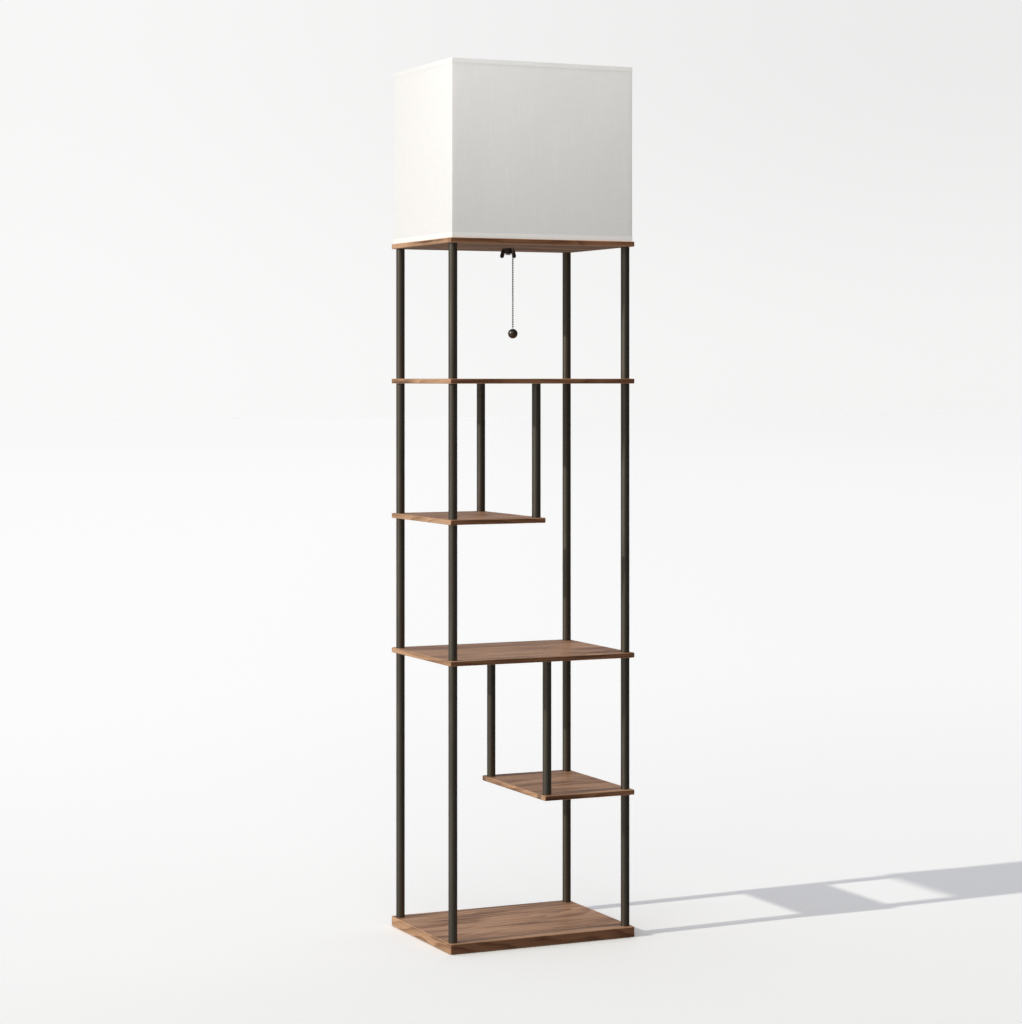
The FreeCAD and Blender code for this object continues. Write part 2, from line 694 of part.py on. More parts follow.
def add_chain_guide():
    """A brass strip in the floor of the slot, with a raised eye that the chain runs through."""
    body = add_body("chain_guide", "0", HOLDER_Y, f"{BASE_Z} + cavity_floor")
    strip = add_sketch(body)
    draw_rectangle(strip, "-lever_width / 2", "lever_width / 2", "-chain_offset", "-spring_back")
    pad(body, strip, "guide_thickness")
    eye = add_sketch(body)
    draw_circle(eye, "guide_eye / 2", "0", "-chain_offset")
    pad(body, eye, "2 * guide_thickness")
    bore = add_sketch(body)
    draw_circle(bore, "guide_bore / 2", "0", "-chain_offset")
    cut_through(body, bore)


add_chain_guide()

# A leaf spring stands on the guide and lifts the forked arm back up.
SPRING_RISE = "(lever_rise - lever_thickness / 2 - cavity_floor - guide_thickness - seat_gap)"
add_bent_strip("return_spring", HOLDER_Y, GUIDE_TOP, [
    ("-spring_front", "0"),
    ("-spring_back", "0"),
    ("-spring_back", "spring_leaf + fit_gap"),
    ("spring_leaf - spring_front", SPRING_RISE),
    ("-spring_front", SPRING_RISE),
    ("-spring_back - 2 * spring_leaf", "spring_leaf"),
    ("-spring_front", "spring_leaf"),
], "spring_width")

# The brass lamp thread and its centre contact stand on the switch base.
THREAD_Z = f"({BASE_Z} + switch_height)"
add_turned("screw_shell", [
    ("contact_reach + contact_gap", "0"),
    ("screw_shell_radius + screw_shell_wall", "0"),
    ("screw_shell_radius + screw_shell_wall", "screw_shell_height"),
    ("screw_shell_radius", "screw_shell_height"),
    ("screw_shell_radius", "screw_shell_wall"),
    ("contact_reach + contact_gap", "screw_shell_wall"),
], z=THREAD_Z)
add_bent_strip("centre_contact", HOLDER_Y, THREAD_Z, [
    ("-contact_reach", "0"),
    ("-contact_bend", "0"),
    ("-contact_lead", "contact_height - screw_shell_wall"),
    ("contact_width / 2", "contact_height - screw_shell_wall"),
    ("contact_width / 2", "contact_height"),
    ("-contact_lead - fit_gap", "contact_height"),
    ("-contact_bend - fit_gap", "screw_shell_wall"),
    ("-contact_reach", "screw_shell_wall"),
], "contact_width")

# ---------------------------------------------------------------- bulb

TIP_Z = f"({THREAD_Z} + contact_height + seat_gap)"
CAP_Z = f"({TIP_Z} + bulb_tip_height)"
HOUSING_Z = f"({CAP_Z} + bulb_insulator + bulb_cap_height)"
EQUATOR_Z = f"({HOUSING_Z} + bulb_globe_rise)"
SHOULDER_RADIUS = "(bulb_radius * cos(bulb_shoulder))"
SHOULDER_DROP = "(bulb_radius * sin(bulb_shoulder))"
add_turned("bulb_tip", [
    ("0", "0"),
    ("bulb_tip_radius - bulb_tip_height", "0"),
    ("bulb_tip_radius", "bulb_tip_height"),
    ("0", "bulb_tip_height"),
], z=TIP_Z)
add_turned("bulb_cap", [
    ("0", "0"),
    ("bulb_tip_radius + bulb_tip_height", "0"),
    ("bulb_cap_radius", "bulb_insulator"),
    ("bulb_cap_radius", "bulb_insulator + bulb_cap_height"),
    ("0", "bulb_insulator + bulb_cap_height"),
], z=CAP_Z)
add_turned("bulb_housing", [
    ("0", "0"),
    ("bulb_cap_radius", "0"),
    ("bulb_cap_radius + screw_shell_wall", "bulb_neck"),
    (SHOULDER_RADIUS, f"bulb_globe_rise - {SHOULDER_DROP}"),
    ("0", f"bulb_globe_rise - {SHOULDER_DROP}"),
], z=HOUSING_Z)
add_turned("bulb_globe", [
    ("0", f"-{SHOULDER_DROP}"),
    (SHOULDER_RADIUS, f"-{SHOULDER_DROP}", "bulb_radius"),
    ("0", "bulb_radius"),
], z=EQUATOR_Z)

# ---------------------------------------------------------------- pull chain

SWIVEL_Z = f"({TOP_UNDERSIDE} - swing_drop)"
COUPLING_Z = f"({BASE_Z} + lever_rise + lever_thickness / 2 + coupling_radius + coupling_gap)"
BEAD_SIDES = 6

# Rings of one bead from bottom to top: height and radius, both as shares of the bead's radius.
BEAD_PROFILE = ((-0.9, 0.0), (-0.42, 0.98), (0.42, 0.98), (0.9, 0.0))


def ring_at(radius, height):
    """A flat many-sided ring about the chain's own axis."""
    corners = []
    for side in range(BEAD_SIDES + 1):
        angle = 2 * math.pi * side / BEAD_SIDES
        corners.append(FreeCAD.Vector(radius * math.cos(angle), radius * math.sin(angle), height))
    return Part.makePolygon(corners)


def bead_rings(centre, radius, neck):
    """The rings of one bead: its two necks and the two edges of its belt."""
    rings = []
    for rise, swell in BEAD_PROFILE:
        rings.append(ring_at(max(radius * swell, neck), centre + rise * radius))
    return rings


def add_chain(label, origin_z, beads, top, bottom):
    """A run of ball chain as one solid: beads are (height, radius), joined by the wire."""
    neck = number("link_diameter / 2")
    rings = [ring_at(neck, top)] if top is not None else []
    for centre, radius in beads:
        rings.extend(reversed(bead_rings(centre, radius, neck)))
    if bottom is not None:
        rings.append(ring_at(neck, bottom))
    chain = doc.addObject("Part::Feature", label)
    chain.Label = label
    chain.Shape = Part.makeLoft(rings, True, True)
    place = FreeCAD.Vector(0, number(CHAIN_Y), number(origin_z))
    chain.Placement = FreeCAD.Placement(place, FreeCAD.Rotation())
    parts.append(chain)


bead_radius = number("bead_diameter / 2")
pitch = number("bead_pitch")
free_end = bead_radius + number("seat_gap")
coupling_height = number(f"{COUPLING_Z} - {SWIVEL_Z}")
first_bead_drop = number("coupling_radius + coupling_gap + lever_thickness + bead_diameter")
upper_beads = [(coupling_height, number("coupling_radius"))]
for step in range(int((coupling_height - first_bead_drop) / pitch), 0, -1):
    upper_beads.append((step * pitch, bead_radius))
add_chain("chain_upper", SWIVEL_Z, upper_beads, None, free_end)
add_chain("chain_swivel", SWIVEL_Z, [(0, bead_radius)], None, None)
hanging = [(-step * pitch, bead_radius) for step in range(1, int(number("hanging_beads")) + 1)]
BALL_TOP = "(-(hanging_beads + 1) * bead_pitch)"
add_chain("pull_chain", SWIVEL_Z, hanging, -free_end, number(f"{BALL_TOP} - chain_bite"))


def add_ball():
    """A bronze ball, drilled from above for the end of the chain."""
    ball = doc.addObject("Part::Sphere", "BallBlank")
    ball.setExpression("Radius", formula("ball_diameter / 2"))
    drill = doc.addObject("Part::Cylinder", "BallDrill")
    drill.setExpression("Radius", formula("link_diameter / 2 + fit_gap"))
    drill.setExpression("Height", formula("ball_diameter"))
    drill.setExpression("Placement.Base.z", formula("ball_diameter / 2 - chain_bite - fit_gap"))
    cut = doc.addObject("Part::Cut", "pull_ball")
    cut.Label = "pull_ball"
    cut.Base = ball
    cut.Tool = drill
    cut.setExpression("Placement.Base.y", formula(CHAIN_Y))
    cut.setExpression("Placement.Base.z", formula(f"{SWIVEL_Z} + {BALL_TOP} - ball_diameter / 2"))
    parts.append(cut)


add_ball()

# The cord leaves through a bush at the back of the top board.
add_turned("cord_bush", [
    ("bush_bore / 2", "-shelf_thickness"),
    ("bush_diameter / 2", "-shelf_thickness"),
    ("bush_diameter / 2", "0"),
    ("bush_flange / 2", "0"),
    ("bush_flange / 2", "bush_flange_height"),
    ("bush_bore / 2", "bush_flange_height"),
], y="bush_setback", z=TOP_FACE)

# ---------------------------------------------------------------- shade

HALF_WIDTH = "(board_width / 2 - shade_inset_x)"
HALF_DEPTH = "(board_depth / 2 - shade_inset_y)"
LINER_X = f"({HALF_WIDTH} - fabric_thickness)"
LINER_Y = f"({HALF_DEPTH} - fabric_thickness)"
INSIDE_X = f"({LINER_X} - liner_thickness)"
INSIDE_Y = f"({LINER_Y} - liner_thickness)"
WALL_FOOT = f"({TOP_FACE} + tape_thickness)"
WALL_HEIGHT = "(shade_height - 2 * tape_thickness)"


def draw_frame(sketch, outside_x, outside_y, inside_x, inside_y, radius):
    """A rectangular ring seen from above, with its outer corners rounded."""
    draw_rounded_rectangle(sketch, f"-{outside_x}", outside_x, f"-{outside_y}", outside_y, radius)
    draw_rectangle(sketch, f"-{inside_x}", inside_x, f"-{inside_y}", inside_y)


def add_cover():
    """The woven cover, one sleeve of cloth bonded round the liner."""
    body = add_body("shade_cover", z=WALL_FOOT)
    sketch = add_sketch(body)
    draw_frame(sketch, HALF_WIDTH, HALF_DEPTH, LINER_X, LINER_Y, "shade_corner")
    pad(body, sketch, WALL_HEIGHT)


def add_liner(label, left, right, front, back):
    """One stiff side of the liner that the cloth is bonded to."""
    body = add_body(label, z=WALL_FOOT)
    sketch = add_sketch(body)
    draw_rectangle(sketch, left, right, front, back)
    pad(body, sketch, WALL_HEIGHT)


add_cover()
add_liner("shade_liner_front", f"-{LINER_X}", LINER_X, f"-{LINER_Y}", f"-{INSIDE_Y}")
add_liner("shade_liner_back", f"-{LINER_X}", LINER_X, INSIDE_Y, LINER_Y)
add_liner("shade_liner_left", f"-{LINER_X}", f"-{INSIDE_X}", f"-{INSIDE_Y}", INSIDE_Y)
add_liner("shade_liner_right", INSIDE_X, LINER_X, f"-{INSIDE_Y}", INSIDE_Y)


def add_hem(label, height, downward):
    """Hem tape folded over the edge of the wall; the top one also covers the wire ring."""
    body = add_body(label, z=height, alone=False)
    out_x = f"({HALF_WIDTH} + tape_thickness)"
    out_y = f"({HALF_DEPTH} + tape_thickness)"
    tuck = "(2 * wire_gap + wire_diameter)" if downward else "0"
    in_x = f"({INSIDE_X} - {tuck} - tape_thickness)" if downward else INSIDE_X
    in_y = f"({INSIDE_Y} - {tuck} - tape_thickness)" if downward else INSIDE_Y
    corner = "(shade_corner + tape_thickness)"
    web = add_sketch(body)
    draw_frame(web, out_x, out_y, in_x, in_y, corner)
    pad(body, web, "tape_thickness", reverse=downward)
    outside = add_sketch(body)
    draw_rounded_rectangle(outside, f"-{out_x}", out_x, f"-{out_y}", out_y, corner)
    draw_rounded_rectangle(outside, f"-{HALF_WIDTH}", HALF_WIDTH, f"-{HALF_DEPTH}", HALF_DEPTH,
                           "shade_corner")
    pad(body, outside, "tape_width", reverse=downward)
    if downward:
        inside = add_sketch(body)
        fold_x = f"({in_x} + tape_thickness)"
        fold_y = f"({in_y} + tape_thickness)"
        draw_rectangle(inside, f"-{fold_x}", fold_x, f"-{fold_y}", fold_y)
        draw_rectangle(inside, f"-{in_x}", in_x, f"-{in_y}", in_y)
        pad(body, inside, "tape_turn", reverse=True)
    return body


add_group("shade_hems", [
    add_hem("bottom_hem", TOP_FACE, False),
    add_hem("top_hem", f"({TOP_FACE} + shade_height)", True),
])

WIRE_X = f"({INSIDE_X} - wire_gap - wire_diameter / 2)"
WIRE_Y = f"({INSIDE_Y} - wire_gap - wire_diameter / 2)"


def add_wire_ring(body):
    """Round wire along a rectangle, with mitred corners, centred on the body's base plane."""
    path = add_sketch(body)
    draw_rectangle(path, f"-{WIRE_X}", WIRE_X, f"-{WIRE_Y}", WIRE_Y)
    section = add_sketch(body, "YZ", height=f"-{WIRE_X}")
    draw_circle(section, "wire_diameter / 2", f"-{WIRE_Y}", "0")
    doc.recompute()
    pipe = body.newObject("PartDesign::AdditivePipe", "Wire")
    pipe.Profile = section
    pipe.Spine = (path, ["Edge1", "Edge2", "Edge3", "Edge4"])
    pipe.Transition = "Right corner"
    return pipe


top_ring = add_body("shade_top_ring",
                    z=f"{TOP_FACE} + shade_height - tape_thickness - wire_gap - wire_diameter / 2")
add_wire_ring(top_ring)


def add_shade_fitter():
    """The bottom ring with its flat spider: four arms to a centre plate on the lamp pipe."""
    rise = "(wire_gap + wire_diameter / 2)"
    body = add_body("shade_fitter", z=f"{TOP_FACE} + {rise}")
    add_wire_ring(body)
    centre = add_sketch(body, height=f"-{rise}")
    draw_circle(centre, "fitter_diameter / 2", "0", HOLDER_Y)
    pad(body, centre, "fitter_thickness")
    for side_x in ("", "-"):
        for side_y in ("", "-"):
            run_x = f"({side_x}{WIRE_X})"
            run_y = f"({side_y}{WIRE_Y} - {HOLDER_Y})"
            run = f"hypot({run_x}; {run_y})"
            half_x = f"(arm_width / 2 * {run_y} / {run})"
            half_y = f"(arm_width / 2 * {run_x} / {run})"
            root = f"(fitter_diameter / 2 - arm_width) / {run}"
            arm = add_sketch(body, height=f"-{rise}")
            corners = [
                (f"{root} * {run_x} + {half_x}", f"{HOLDER_Y} + {root} * {run_y} - {half_y}"),
                (f"{run_x} + {half_x}", f"{HOLDER_Y} + {run_y} - {half_y}"),
                (f"{run_x} - {half_x}", f"{HOLDER_Y} + {run_y} + {half_y}"),
                (f"{root} * {run_x} - {half_x}", f"{HOLDER_Y} + {root} * {run_y} + {half_y}"),
            ]
            draw_outline(arm, corners)
            pad(body, arm, "fitter_thickness")
    hole = add_sketch(body)
    draw_circle(hole, PIPE_HOLE, "0", HOLDER_Y)
    cut_through(body, hole)


add_shade_fitter()


def check_and_write():
    """Stops on any failed piece, then writes one STEP file per piece."""
    doc.recompute()
    for item in doc.Objects:
        if "Invalid" in item.State or "Error" in item.State:
            raise RuntimeError(f"{item.Name} failed: {item.State}")
    os.makedirs("parts", exist_ok=True)
    for piece in parts:
        shape = piece.Shape
        if shape.isNull() or not shape.isValid() or shape.Volume <= 0:
            raise RuntimeError(f"{piece.Label} has no valid solid")
        shape.exportStep(os.path.join("parts", piece.Label + ".step"))
    print(len(parts), "pieces written")


check_and_write()
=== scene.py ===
import math

import bmesh
import bpy
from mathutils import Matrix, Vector, noise


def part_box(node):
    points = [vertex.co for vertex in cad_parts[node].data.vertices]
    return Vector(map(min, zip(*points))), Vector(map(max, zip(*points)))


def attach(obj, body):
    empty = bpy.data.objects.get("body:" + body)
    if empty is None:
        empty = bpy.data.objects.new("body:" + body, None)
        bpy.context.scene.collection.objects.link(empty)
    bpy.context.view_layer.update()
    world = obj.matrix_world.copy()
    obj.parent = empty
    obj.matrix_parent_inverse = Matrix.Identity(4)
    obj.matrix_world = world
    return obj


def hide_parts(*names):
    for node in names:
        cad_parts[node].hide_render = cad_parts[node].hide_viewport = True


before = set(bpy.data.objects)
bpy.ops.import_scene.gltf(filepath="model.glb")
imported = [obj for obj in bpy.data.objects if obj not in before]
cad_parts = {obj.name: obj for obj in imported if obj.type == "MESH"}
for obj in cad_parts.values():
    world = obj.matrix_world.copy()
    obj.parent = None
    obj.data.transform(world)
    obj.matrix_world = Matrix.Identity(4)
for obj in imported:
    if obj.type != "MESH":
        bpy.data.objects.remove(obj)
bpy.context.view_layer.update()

# ---------------------------------------------------------------- boards
# Six boards of particle board with walnut veneer on both faces and on the edges, softened by
# sanding and sprayed with satin lacquer. The base board is twice as thick as the others, and
# the two half shelves end near the middle of the lamp.


def add_node(tree, kind, inputs=None, **settings):
    """A shader node with its settings, whose inputs are values or other nodes' outputs."""
    node = tree.nodes.new(kind)
    for name, value in settings.items():
        setattr(node, name, value)
    for name, value in (inputs or {}).items():
        if isinstance(value, bpy.types.NodeSocket):
            tree.links.new(value, node.inputs[name])
        else:
            node.inputs[name].default_value = value
    return node


def calculate(tree, operation, *values):
    node = add_node(tree, "ShaderNodeMath", dict(enumerate(values)), operation=operation)
    return node.outputs[0]


def mix_colours(tree, share, first, second, way="MIX"):
    node = add_node(tree, "ShaderNodeMix", {0: share, 6: first, 7: second}, data_type="RGBA",
                    blend_type=way)
    return node.outputs[2]


def spread(tree, value, low, high, to_low=0.0, to_high=1.0):
    """Stretches a value's range from low and high to new ends, and holds it between them."""
    node = add_node(tree, "ShaderNodeMapRange", {0: value, 1: low, 2: high, 3: to_low, 4: to_high},
                    interpolation_type="SMOOTHSTEP")
    return node.outputs[0]


def stretched_noise(tree, place, stretch, detail=3.0, roughness=0.55):
    """Noise whose grains are 1 / stretch metres long in each direction."""
    scaled = add_node(tree, "ShaderNodeVectorMath", {0: place, 1: stretch}, operation="MULTIPLY")
    grains = add_node(tree, "ShaderNodeTexNoise", {"Vector": scaled.outputs[0], "Scale": 1.0,
                                                   "Detail": detail, "Roughness": roughness})
    return grains.outputs[0]


def own_place(tree):
    """The place on the piece itself, in metres."""
    return add_node(tree, "ShaderNodeTexCoord").outputs["Object"]


def weigh(tree, *terms):
    """The sum of some values, each times its weight."""
    total = None
    for value, weight in terms:
        part = calculate(tree, "MULTIPLY", value, weight)
        total = part if total is None else calculate(tree, "ADD", total, part)
    return total


def new_group(name, inputs, outputs):
    """An empty shader group with named sockets, and its two end nodes."""
    group = bpy.data.node_groups.new(name, "ShaderNodeTree")
    for title, kind, value in inputs:
        socket = group.interface.new_socket(title, in_out="INPUT", socket_type=kind)
        socket.default_value = value
    for title, kind in outputs:
        group.interface.new_socket(title, in_out="OUTPUT", socket_type=kind)
    return group, group.nodes.new("NodeGroupInput"), group.nodes.new("NodeGroupOutput")


def give(group, result, **values):
    """Joins values to the group's outputs of the same names."""
    for title, value in values.items():
        group.links.new(value, result.inputs[title])


def use_group(tree, group, **values):
    node = tree.nodes.new("ShaderNodeGroup")
    node.node_tree = group
    for title, value in values.items():
        node.inputs[title.replace("_", " ")].default_value = value
    return node


def new_material(name, colour, **settings):
    """A material with its Principled shader; settings are uniform values on its own sockets."""
    material = bpy.data.materials.new(name)
    material.use_nodes = True
    shader = material.node_tree.nodes["Principled BSDF"]
    shader.inputs["Base Color"].default_value = (*colour, 1.0)
    for title, value in settings.items():
        shader.inputs[title.replace("_", " ")].default_value = value
    material.diffuse_color = (*colour, 1.0)
    return material, material.node_tree, shader


def add_bump(tree, shader, height, distance):
    bump = add_node(tree, "ShaderNodeBump", {"Height": height, "Distance": distance,
                                             "Strength": 1.0})
    tree.links.new(bump.outputs[0], shader.inputs["Normal"])


def coat(tree, shader, surface, bump_depth):
    """Joins a surface group's colour, roughness and height to the shader."""
    tree.links.new(surface.outputs["Colour"], shader.inputs["Base Color"])
    if "Roughness" in surface.outputs:
        tree.links.new(surface.outputs["Roughness"], shader.inputs["Roughness"])
    add_bump(tree, shader, surface.outputs["Height"], bump_depth)


def dress(node_name, material):
    """Puts a material on a carried-over CAD piece."""
    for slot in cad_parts[node_name].material_slots:
        slot.material = material


RING_WIDTH = 0.0085
YEAR_TONES = ((0.0, 0.0), (0.16, 0.85), (0.55, 0.6), (0.9, 0.25), (1.0, 0.0))


def build_walnut_grain():
    """Flat-cut walnut: growth rings cut by the face, streaks of tone, open pores, and painted
    shade that darkens the front, back and under faces.
    """
    group, given, result = new_group(
        "Walnut grain",
        [("Log place", "NodeSocketVector", (0.0, 0.0, 0.08)),
         ("Pale wood", "NodeSocketColor", (0.685, 0.4, 0.233, 1.0)),
         ("Brown wood", "NodeSocketColor", (0.335, 0.17, 0.091, 1.0)),
         ("Dark streaks", "NodeSocketColor", (0.1, 0.046, 0.026, 1.0)),
         ("End band", "NodeSocketColor", (0.84, 0.86, 0.84, 1.0)),
         ("Front and back shade", "NodeSocketColor", (0.35, 0.285, 0.25, 1.0)),
         ("Underside shade", "NodeSocketColor", (0.52, 0.56, 0.61, 1.0))],
        [("Colour", "NodeSocketColor"), ("Roughness", "NodeSocketFloat"),
         ("Height", "NodeSocketFloat")],
    )
    where = add_node(group, "ShaderNodeTexCoord")
    facing = add_node(group, "ShaderNodeSeparateXYZ", {0: where.outputs["Normal"]})
    sideways = spread(group, calculate(group, "ABSOLUTE", facing.outputs[0]), 0.6, 0.8)
    forwards = spread(group, calculate(group, "ABSOLUTE", facing.outputs[1]), 0.6, 0.8)
    flat = calculate(group, "ABSOLUTE", facing.outputs[2])
    downwards = spread(group, facing.outputs[2], -0.6, -0.8)
    arris = calculate(group, "MULTIPLY", spread(group, flat, 0.2, 0.6),
                      spread(group, flat, 0.99, 0.85))
    place = add_node(group, "ShaderNodeSeparateXYZ", {0: where.outputs["Object"]})
    turned = add_node(group, "ShaderNodeCombineXYZ", {0: place.outputs[1], 1: place.outputs[0],
                                                      2: place.outputs[2]})
    along = add_node(group, "ShaderNodeMix", {0: sideways, 4: where.outputs["Object"],
                                              5: turned.outputs[0]}, data_type="VECTOR")
    grain = add_node(group, "ShaderNodeVectorMath", {0: along.outputs[1],
                                                     1: given.outputs["Log place"]},
                     operation="ADD").outputs[0]
    axes = add_node(group, "ShaderNodeSeparateXYZ", {0: grain})
    radius = calculate(group, "SQRT", calculate(
        group, "ADD", calculate(group, "POWER", axes.outputs[1], 2.0),
        calculate(group, "POWER", axes.outputs[2], 2.0)))
    waver = stretched_noise(group, grain, (2.2, 7.0, 7.0))
    wobble = stretched_noise(group, grain, (7.0, 60.0, 60.0))
    distance = weigh(group, (radius, 1.0), (waver, 0.075), (wobble, 0.006),
                     (axes.outputs[0], 0.03))
    rings = calculate(group, "FRACT", calculate(group, "DIVIDE", distance, RING_WIDTH))
    year = add_node(group, "ShaderNodeValToRGB", {0: rings})
    tones = year.color_ramp.elements
    for index, (position, level) in enumerate(YEAR_TONES):
        step = tones[index] if index < 2 else tones.new(position)
        step.position = position
        step.color = (level, level, level, 1.0)
    streaks = stretched_noise(group, grain, (3.2, 150.0, 150.0), detail=4.0, roughness=0.6)
    clouds = stretched_noise(group, grain, (5.0, 26.0, 26.0))
    pores = stretched_noise(group, grain, (130.0, 1900.0, 1900.0), detail=2.0)
    share = weigh(group, (year.outputs[0], 0.42), (streaks, 0.5), (clouds, 1.25))
    tone = mix_colours(group, spread(group, share, 0.78, 1.36), given.outputs["Brown wood"],
                       given.outputs["Pale wood"])
    dark = calculate(group, "MULTIPLY", spread(group, streaks, 0.5, 0.34),
                     spread(group, clouds, 0.55, 0.35))
    tone = mix_colours(group, calculate(group, "MULTIPLY", dark, 0.8), tone,
                       given.outputs["Dark streaks"])
    # The ends take the edge banding's tone. The front and back edges are painted far darker, and
    # the undersides darker and bluish, as painted shade.
    for side, facing_tone in ((sideways, "End band"), (forwards, "Front and back shade"), (downwards, "Underside shade")):
        tone = mix_colours(group, side, tone, given.outputs[facing_tone], "MULTIPLY")
    open_pores = spread(group, pores, 0.43, 0.33)
    tone = mix_colours(group, calculate(group, "MULTIPLY", open_pores, 0.55), tone,
                       given.outputs["Dark streaks"])
    sanded = mix_colours(group, calculate(group, "MULTIPLY", arris, 0.35), tone,
                         given.outputs["Pale wood"])
    dull = weigh(group, (streaks, 0.14), (open_pores, 0.12),
                 (spread(group, downwards, 0.0, 1.0, 0.3, 0.7), 1.0))
    give(group, result, Colour=sanded, Roughness=dull,
         Height=weigh(group, (streaks, 0.3), (open_pores, -1.0)))
    return group


walnut_grain = build_walnut_grain()

# Each board comes from another place in the log, so no two show the same figure.
LOG_PLACES = {
    "base_board": (1.13, -0.05, 0.1),
    "lower_right_shelf": (1.4, -0.03, -0.19),
    "middle_shelf": (2.2, 0.10, -0.42),
    "upper_left_shelf": (3.7, 0.02, -0.68),
    "upper_shelf": (4.9, -0.07, -0.93),
    "top_board": (7.4, 0.06, -1.31),
}
for board, log_place in LOG_PLACES.items():
    veneer, tree, shader = new_material(board + "_walnut", (0.2, 0.085, 0.045),
                                        Specular_IOR_Level=0.13)
    figure = use_group(tree, walnut_grain, Log_place=log_place)
    coat(tree, shader, figure, 0.00006)
    dress(board, veneer)

# ---------------------------------------------------------------- floor pads
# Four squares of pressed felt, glued under the base board so that it stands clear of the floor.

felt, tree, shader = new_material("pressed_felt", (0.05, 0.043, 0.036), Roughness=0.95,
                                  Sheen_Weight=0.4)
fibres = stretched_noise(tree, own_place(tree), (1500.0, 1500.0, 1500.0), detail=5.0)
tree.links.new(mix_colours(tree, fibres, (0.02, 0.018, 0.015, 1.0), (0.09, 0.08, 0.068, 1.0)),
               shader.inputs["Base Color"])
add_bump(tree, shader, fibres, 0.0003)
dress("floor_pads", felt)

# ---------------------------------------------------------------- posts and hangers
# Steel tubes with a satin dark bronze lacquer, cut square and clamped between the boards. The
# lacquer has a faint orange-peel surface, thinner and paler where hands and dusters rub it.


def build_lacquer_surface():
    """Sprayed lacquer: slight changes of tone, specks of dust, and orange peel."""
    group, given, result = new_group(
        "Sprayed lacquer",
        [("Lacquer", "NodeSocketColor", (0.05, 0.045, 0.037, 1.0)),
         ("Rubbed", "NodeSocketColor", (0.11, 0.1, 0.085, 1.0)),
         ("Smoothest", "NodeSocketFloat", 0.32)],
        [("Colour", "NodeSocketColor"), ("Roughness", "NodeSocketFloat"),
         ("Height", "NodeSocketFloat")],
    )
    where = own_place(group)
    rubbing = stretched_noise(group, where, (60.0, 60.0, 9.0), detail=4.0)
    peel = stretched_noise(group, where, (900.0, 900.0, 900.0), detail=2.0)
    specks = spread(group, stretched_noise(group, where, (1400.0, 1400.0, 1400.0)), 0.66, 0.74)
    share = weigh(group, (spread(group, rubbing, 0.45, 0.75, 0.0, 0.45), 1.0), (specks, 0.3))
    give(group, result,
         Colour=mix_colours(group, share, given.outputs["Lacquer"], given.outputs["Rubbed"]),
         Roughness=weigh(group, (given.outputs["Smoothest"], 1.0), (rubbing, 0.2)), Height=peel)
    return group


lacquer_surface = build_lacquer_surface()


def lacquered_metal(name, lacquer, rubbed, smoothest, metallic, peel_depth=0.00002):
    material, tree, shader = new_material(name, lacquer, Metallic=metallic)
    surface = use_group(tree, lacquer_surface, Lacquer=(*lacquer, 1.0), Rubbed=(*rubbed, 1.0),
                        Smoothest=smoothest)
    coat(tree, shader, surface, peel_depth)
    return material


tube_bronze = lacquered_metal("tube_bronze", (0.13, 0.113, 0.088), (0.18, 0.158, 0.125),
                              smoothest=0.32, metallic=0.88)
for node_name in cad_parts:
    if "tube_" in node_name or node_name.startswith(("hanger_front", "hanger_back")):
        dress(node_name, tube_bronze)

# ---------------------------------------------------------------- long bolts
# Zinc-plated bolts run up inside the tubes from under the base board to the top board, and
# under each half shelf to the shelf over it. Only their sunk heads show, from below.


def build_plated_surface():
    """Bright plating: cloudy patches and fine turning marks round the upright axis."""
    group, given, result = new_group(
        "Plated surface",
        [("Bright", "NodeSocketColor", (0.62, 0.63, 0.65, 1.0)),
         ("Clouded", "NodeSocketColor", (0.42, 0.42, 0.4, 1.0)),
         ("Smoothest", "NodeSocketFloat", 0.22)],
        [("Colour", "NodeSocketColor"), ("Roughness", "NodeSocketFloat"),
         ("Height", "NodeSocketFloat")],
    )
    where = own_place(group)
    clouds = stretched_noise(group, where, (260.0, 260.0, 260.0), detail=4.0)
    marks = stretched_noise(group, where, (300.0, 300.0, 6000.0), detail=2.0)
    give(group, result,
         Colour=mix_colours(group, spread(group, clouds, 0.4, 0.7), given.outputs["Bright"],
                            given.outputs["Clouded"]),
         Roughness=weigh(group, (given.outputs["Smoothest"], 1.0), (clouds, 0.25)), Height=marks)
    return group


plated_surface = build_plated_surface()


def plated_metal(name, bright, clouded, smoothest):
    material, tree, shader = new_material(name, bright, Metallic=1.0)
    surface = use_group(tree, plated_surface, Bright=(*bright, 1.0), Clouded=(*clouded, 1.0),
                        Smoothest=smoothest)
    coat(tree, shader, surface, 0.00001)
    return material


zinc_steel = plated_metal("zinc_steel", (0.6, 0.61, 0.63), (0.45, 0.44, 0.4), 0.25)
for node_name in ("post_bolts", "hanger_bolts"):
    dress(node_name, zinc_steel)

# ---------------------------------------------------------------- lamp pipe and washer
# A threaded steel pipe holds the shade's spider and the lamp holder on the top board, and
# shows under the board, inside the wing nut. A bronze washer spreads the nut's load.

HOLDER_AXIS = (0.0, 0.017)


def shape_from(name, verts, faces, smooth=True):
    """A new piece from its points and faces, with every face turned outwards."""
    mesh = bpy.data.meshes.new(name)
    mesh.from_pydata(verts, [], faces)
    shape = bmesh.new()
    shape.from_mesh(mesh)
    bmesh.ops.recalc_face_normals(shape, faces=shape.faces)
    shape.to_mesh(mesh)
    shape.free()
    for face in mesh.polygons:
        face.use_smooth = smooth
    piece = bpy.data.objects.new(name, mesh)
    bpy.context.scene.collection.objects.link(piece)
    return piece


